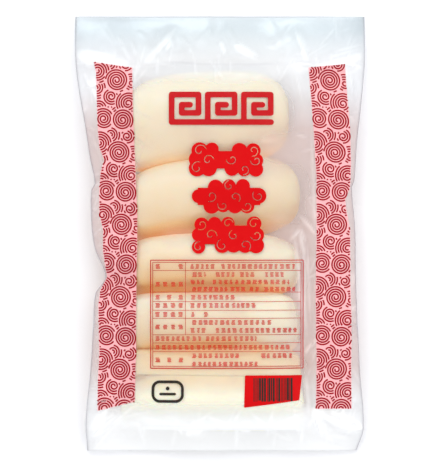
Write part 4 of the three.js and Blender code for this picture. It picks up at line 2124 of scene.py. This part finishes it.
@dataclass
class BagPrint:
    """Everything printed on the front film. lifts are how far off the film its three layers of ink lie."""

    film: Object
    lifts: tuple[float, float, float] = (0.12, 0.22, 0.3)
    red: PrintInk = PrintInk("red_ink", colour(203, 1, 6), colour(209, 10, 14))
    crimson: PrintInk = PrintInk("crimson_ink", colour(184, 20, 26), colour(194, 30, 36), 0.98)
    panel_red: PrintInk = PrintInk("panel_ink", colour(196, 8, 22), colour(206, 18, 32), 0.98)
    scroll_red: PrintInk = PrintInk("scroll_ink", colour(150, 0, 20), colour(160, 2, 26), 0.99)
    pink: PrintInk = PrintInk("pink_ground", colour(252, 181, 184), colour(254, 190, 192), 0.85)
    dark: PrintInk = PrintInk("dark_ink", colour(38, 34, 30), colour(54, 48, 44), 0.98)

    def build(self) -> dict[Object, Slot]:
        """All the printed pieces, each with its slot.

        Returns:
            Each piece's slot.
        """
        press = Press(self.film)
        shape, lines = press.shape, press.line_work
        panel, stripes = RuledPanel(), StripedField()
        red, crimson, panel_red, scroll_red, pink, dark = (ink.material() for ink in (
            self.red, self.crimson, self.panel_red, self.scroll_red, self.pink, self.dark))
        low, middle, high = self.lifts
        layers = [
            (shape, "band_ground_left", LEFT_BAND.ground(), pink, low),
            (shape, "band_ground_right", RIGHT_BAND.ground(), pink, low),
            (lines, "scroll_band_left", LEFT_BAND.runs(), scroll_red, middle),
            (lines, "scroll_band_right", RIGHT_BAND.runs(), scroll_red, middle),
            (shape, "fret_ornament", FretOrnament().drawing(), crimson, middle),
            (lines, "panel_rules", panel.lines(), crimson, middle),
            (lines, "panel_dashes", panel.dashes(), panel_red, middle),
            (shape, "striped_field", stripes.field(), red, middle),
            (shape, "rounded_mark", RoundedMark().drawing(), dark, middle),
            *((shape, f"cloud_{k}", cloud.drawing(), red, middle) for k, cloud in enumerate(CLOUDS, 1)),
            (lines, "field_stripes", stripes.bars(), dark, high),
        ]
        return {lay(name, drawing, ink, lift): Slot.DARK if ink is dark else Slot.RED
                for lay, name, drawing, ink, lift in layers}


@dataclass(frozen=True)
class Lamp:
    """A rectangular light aimed at the bag's middle: its place and sides in metres, its power in watts."""

    name: str
    place: tuple[float, float, float]
    sides: Point
    power: float
    tint: tuple[float, float, float] = (1.0, 1.0, 1.0)
    mirrored: bool = True

    def build(self) -> None:
        """Adds the light. It shows in glossy surfaces only where it is mirrored."""
        light = bpy.data.lights.new(self.name, "AREA")
        light.shape = "RECTANGLE"
        light.size, light.size_y = self.sides
        light.energy = self.power
        light.color = self.tint
        lamp = bpy.data.objects.new(self.name, light)
        lamp.location = self.place
        lamp.visible_glossy = self.mirrored
        lamp.rotation_euler = (-Vector(self.place)).to_track_quat("-Z", "Y").to_euler()
        bpy.context.scene.collection.objects.link(lamp)


@dataclass
class Studio:
    """A pale floor, an even sky, soft lights and a long lens looking straight down on the print."""

    centre: Point = (-1.2, -1.85)
    frame_height: float = 291.8
    focus_height: float = 36.0
    sensor: float = 36.0
    lens: float = 420.0
    far: float = 50.0
    floor_side: float = 3.0
    floor_height: float = -0.05
    floor_colour: Colour = colour(252, 253, 255)
    floor_roughness: float = 0.8
    sky_colour: Colour = colour(251, 252, 255)
    sky_strength: float = 1.05
    lamps: tuple[Lamp, ...] = (
        Lamp("key", (0.05, 0.6, 1.15), (1.0, 0.8), 3.2, (1.0, 0.985, 0.96), False),
        Lamp("sheen", (-0.25, 0.75, 1.1), (0.5, 0.25), 1.2),
        Lamp("glint_right", (0.7, -0.1, 0.8), (0.05, 0.5), 0.6),
    )

    def build(self) -> None:
        """Adds the floor, the sky, the lights and the camera."""
        self._floor()
        self._sky()
        for lamp in self.lamps:
            lamp.build()
        self._camera()
        bpy.context.scene.view_settings.view_transform = "Standard"

    def _floor(self) -> None:
        """A plain matt floor."""
        half = self.floor_side / MM / 2
        corners = [(x * half, y * half, self.floor_height) for x, y in ((-1, -1), (1, -1), (1, 1), (-1, 1))]
        floor = mesh_object("floor", np.array(corners), [[0, 1, 2, 3]])
        material, tree = new_material("floor")
        tree.surface(tree.principled({
            "Base Color": self.floor_colour, "Roughness": self.floor_roughness}))
        floor.data.materials.append(material)

    def _sky(self) -> None:
        """An even pale sky."""
        world = bpy.data.worlds.new("sky")
        world.use_nodes = True
        background = world.node_tree.nodes["Background"]
        background.inputs["Color"].default_value = self.sky_colour
        background.inputs["Strength"].default_value = self.sky_strength
        bpy.context.scene.world = world

    def _camera(self) -> None:
        """The camera, so far up that the frame is frame_height tall at the print's height."""
        data = bpy.data.cameras.new("camera")
        data.sensor_fit = "VERTICAL"
        data.sensor_height = self.sensor
        data.lens = self.lens
        data.clip_end = self.far
        up = self.frame_height * self.lens / self.sensor + self.focus_height
        camera = bpy.data.objects.new("camera", data)
        camera.location = (self.centre[0] * MM, self.centre[1] * MM, up * MM)
        bpy.context.scene.collection.objects.link(camera)
        bpy.context.scene.camera = camera


def place(piece: Object, slot: Slot, replaces: bool = False) -> None:
    """Puts a piece under its body, hides the solid where the piece stands for it, and reports it.

    Args:
        piece: The piece.
        slot: Its material slot. Not used.
        replaces: Whether it stands for the solid.
    """
    if replaces:
        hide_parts(NODE)
    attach(piece, BODY)
    log.info("%s: %d faces", piece.name, len(piece.data.polygons))


def main() -> None:
    """Builds the bag, its rolls, its print and the studio."""
    logging.basicConfig(level=logging.INFO, format="%(name)s: %(message)s")
    bag = BagFilm()
    bag.settle()
    film = bag.build()
    clear = ClearFilm().material()
    film.data.materials.append(clear)
    rolls = RollMaker(bag, SteamedDough()).build()
    printed = BagPrint(film).build()

    place(film, Slot.FILM, replaces=True)
    for roll in rolls:
        place(roll, Slot.DOUGH, replaces=True)
    for piece, slot in printed.items():
        place(piece, slot)
    Studio().build()


if __name__ == "__main__":
    main()
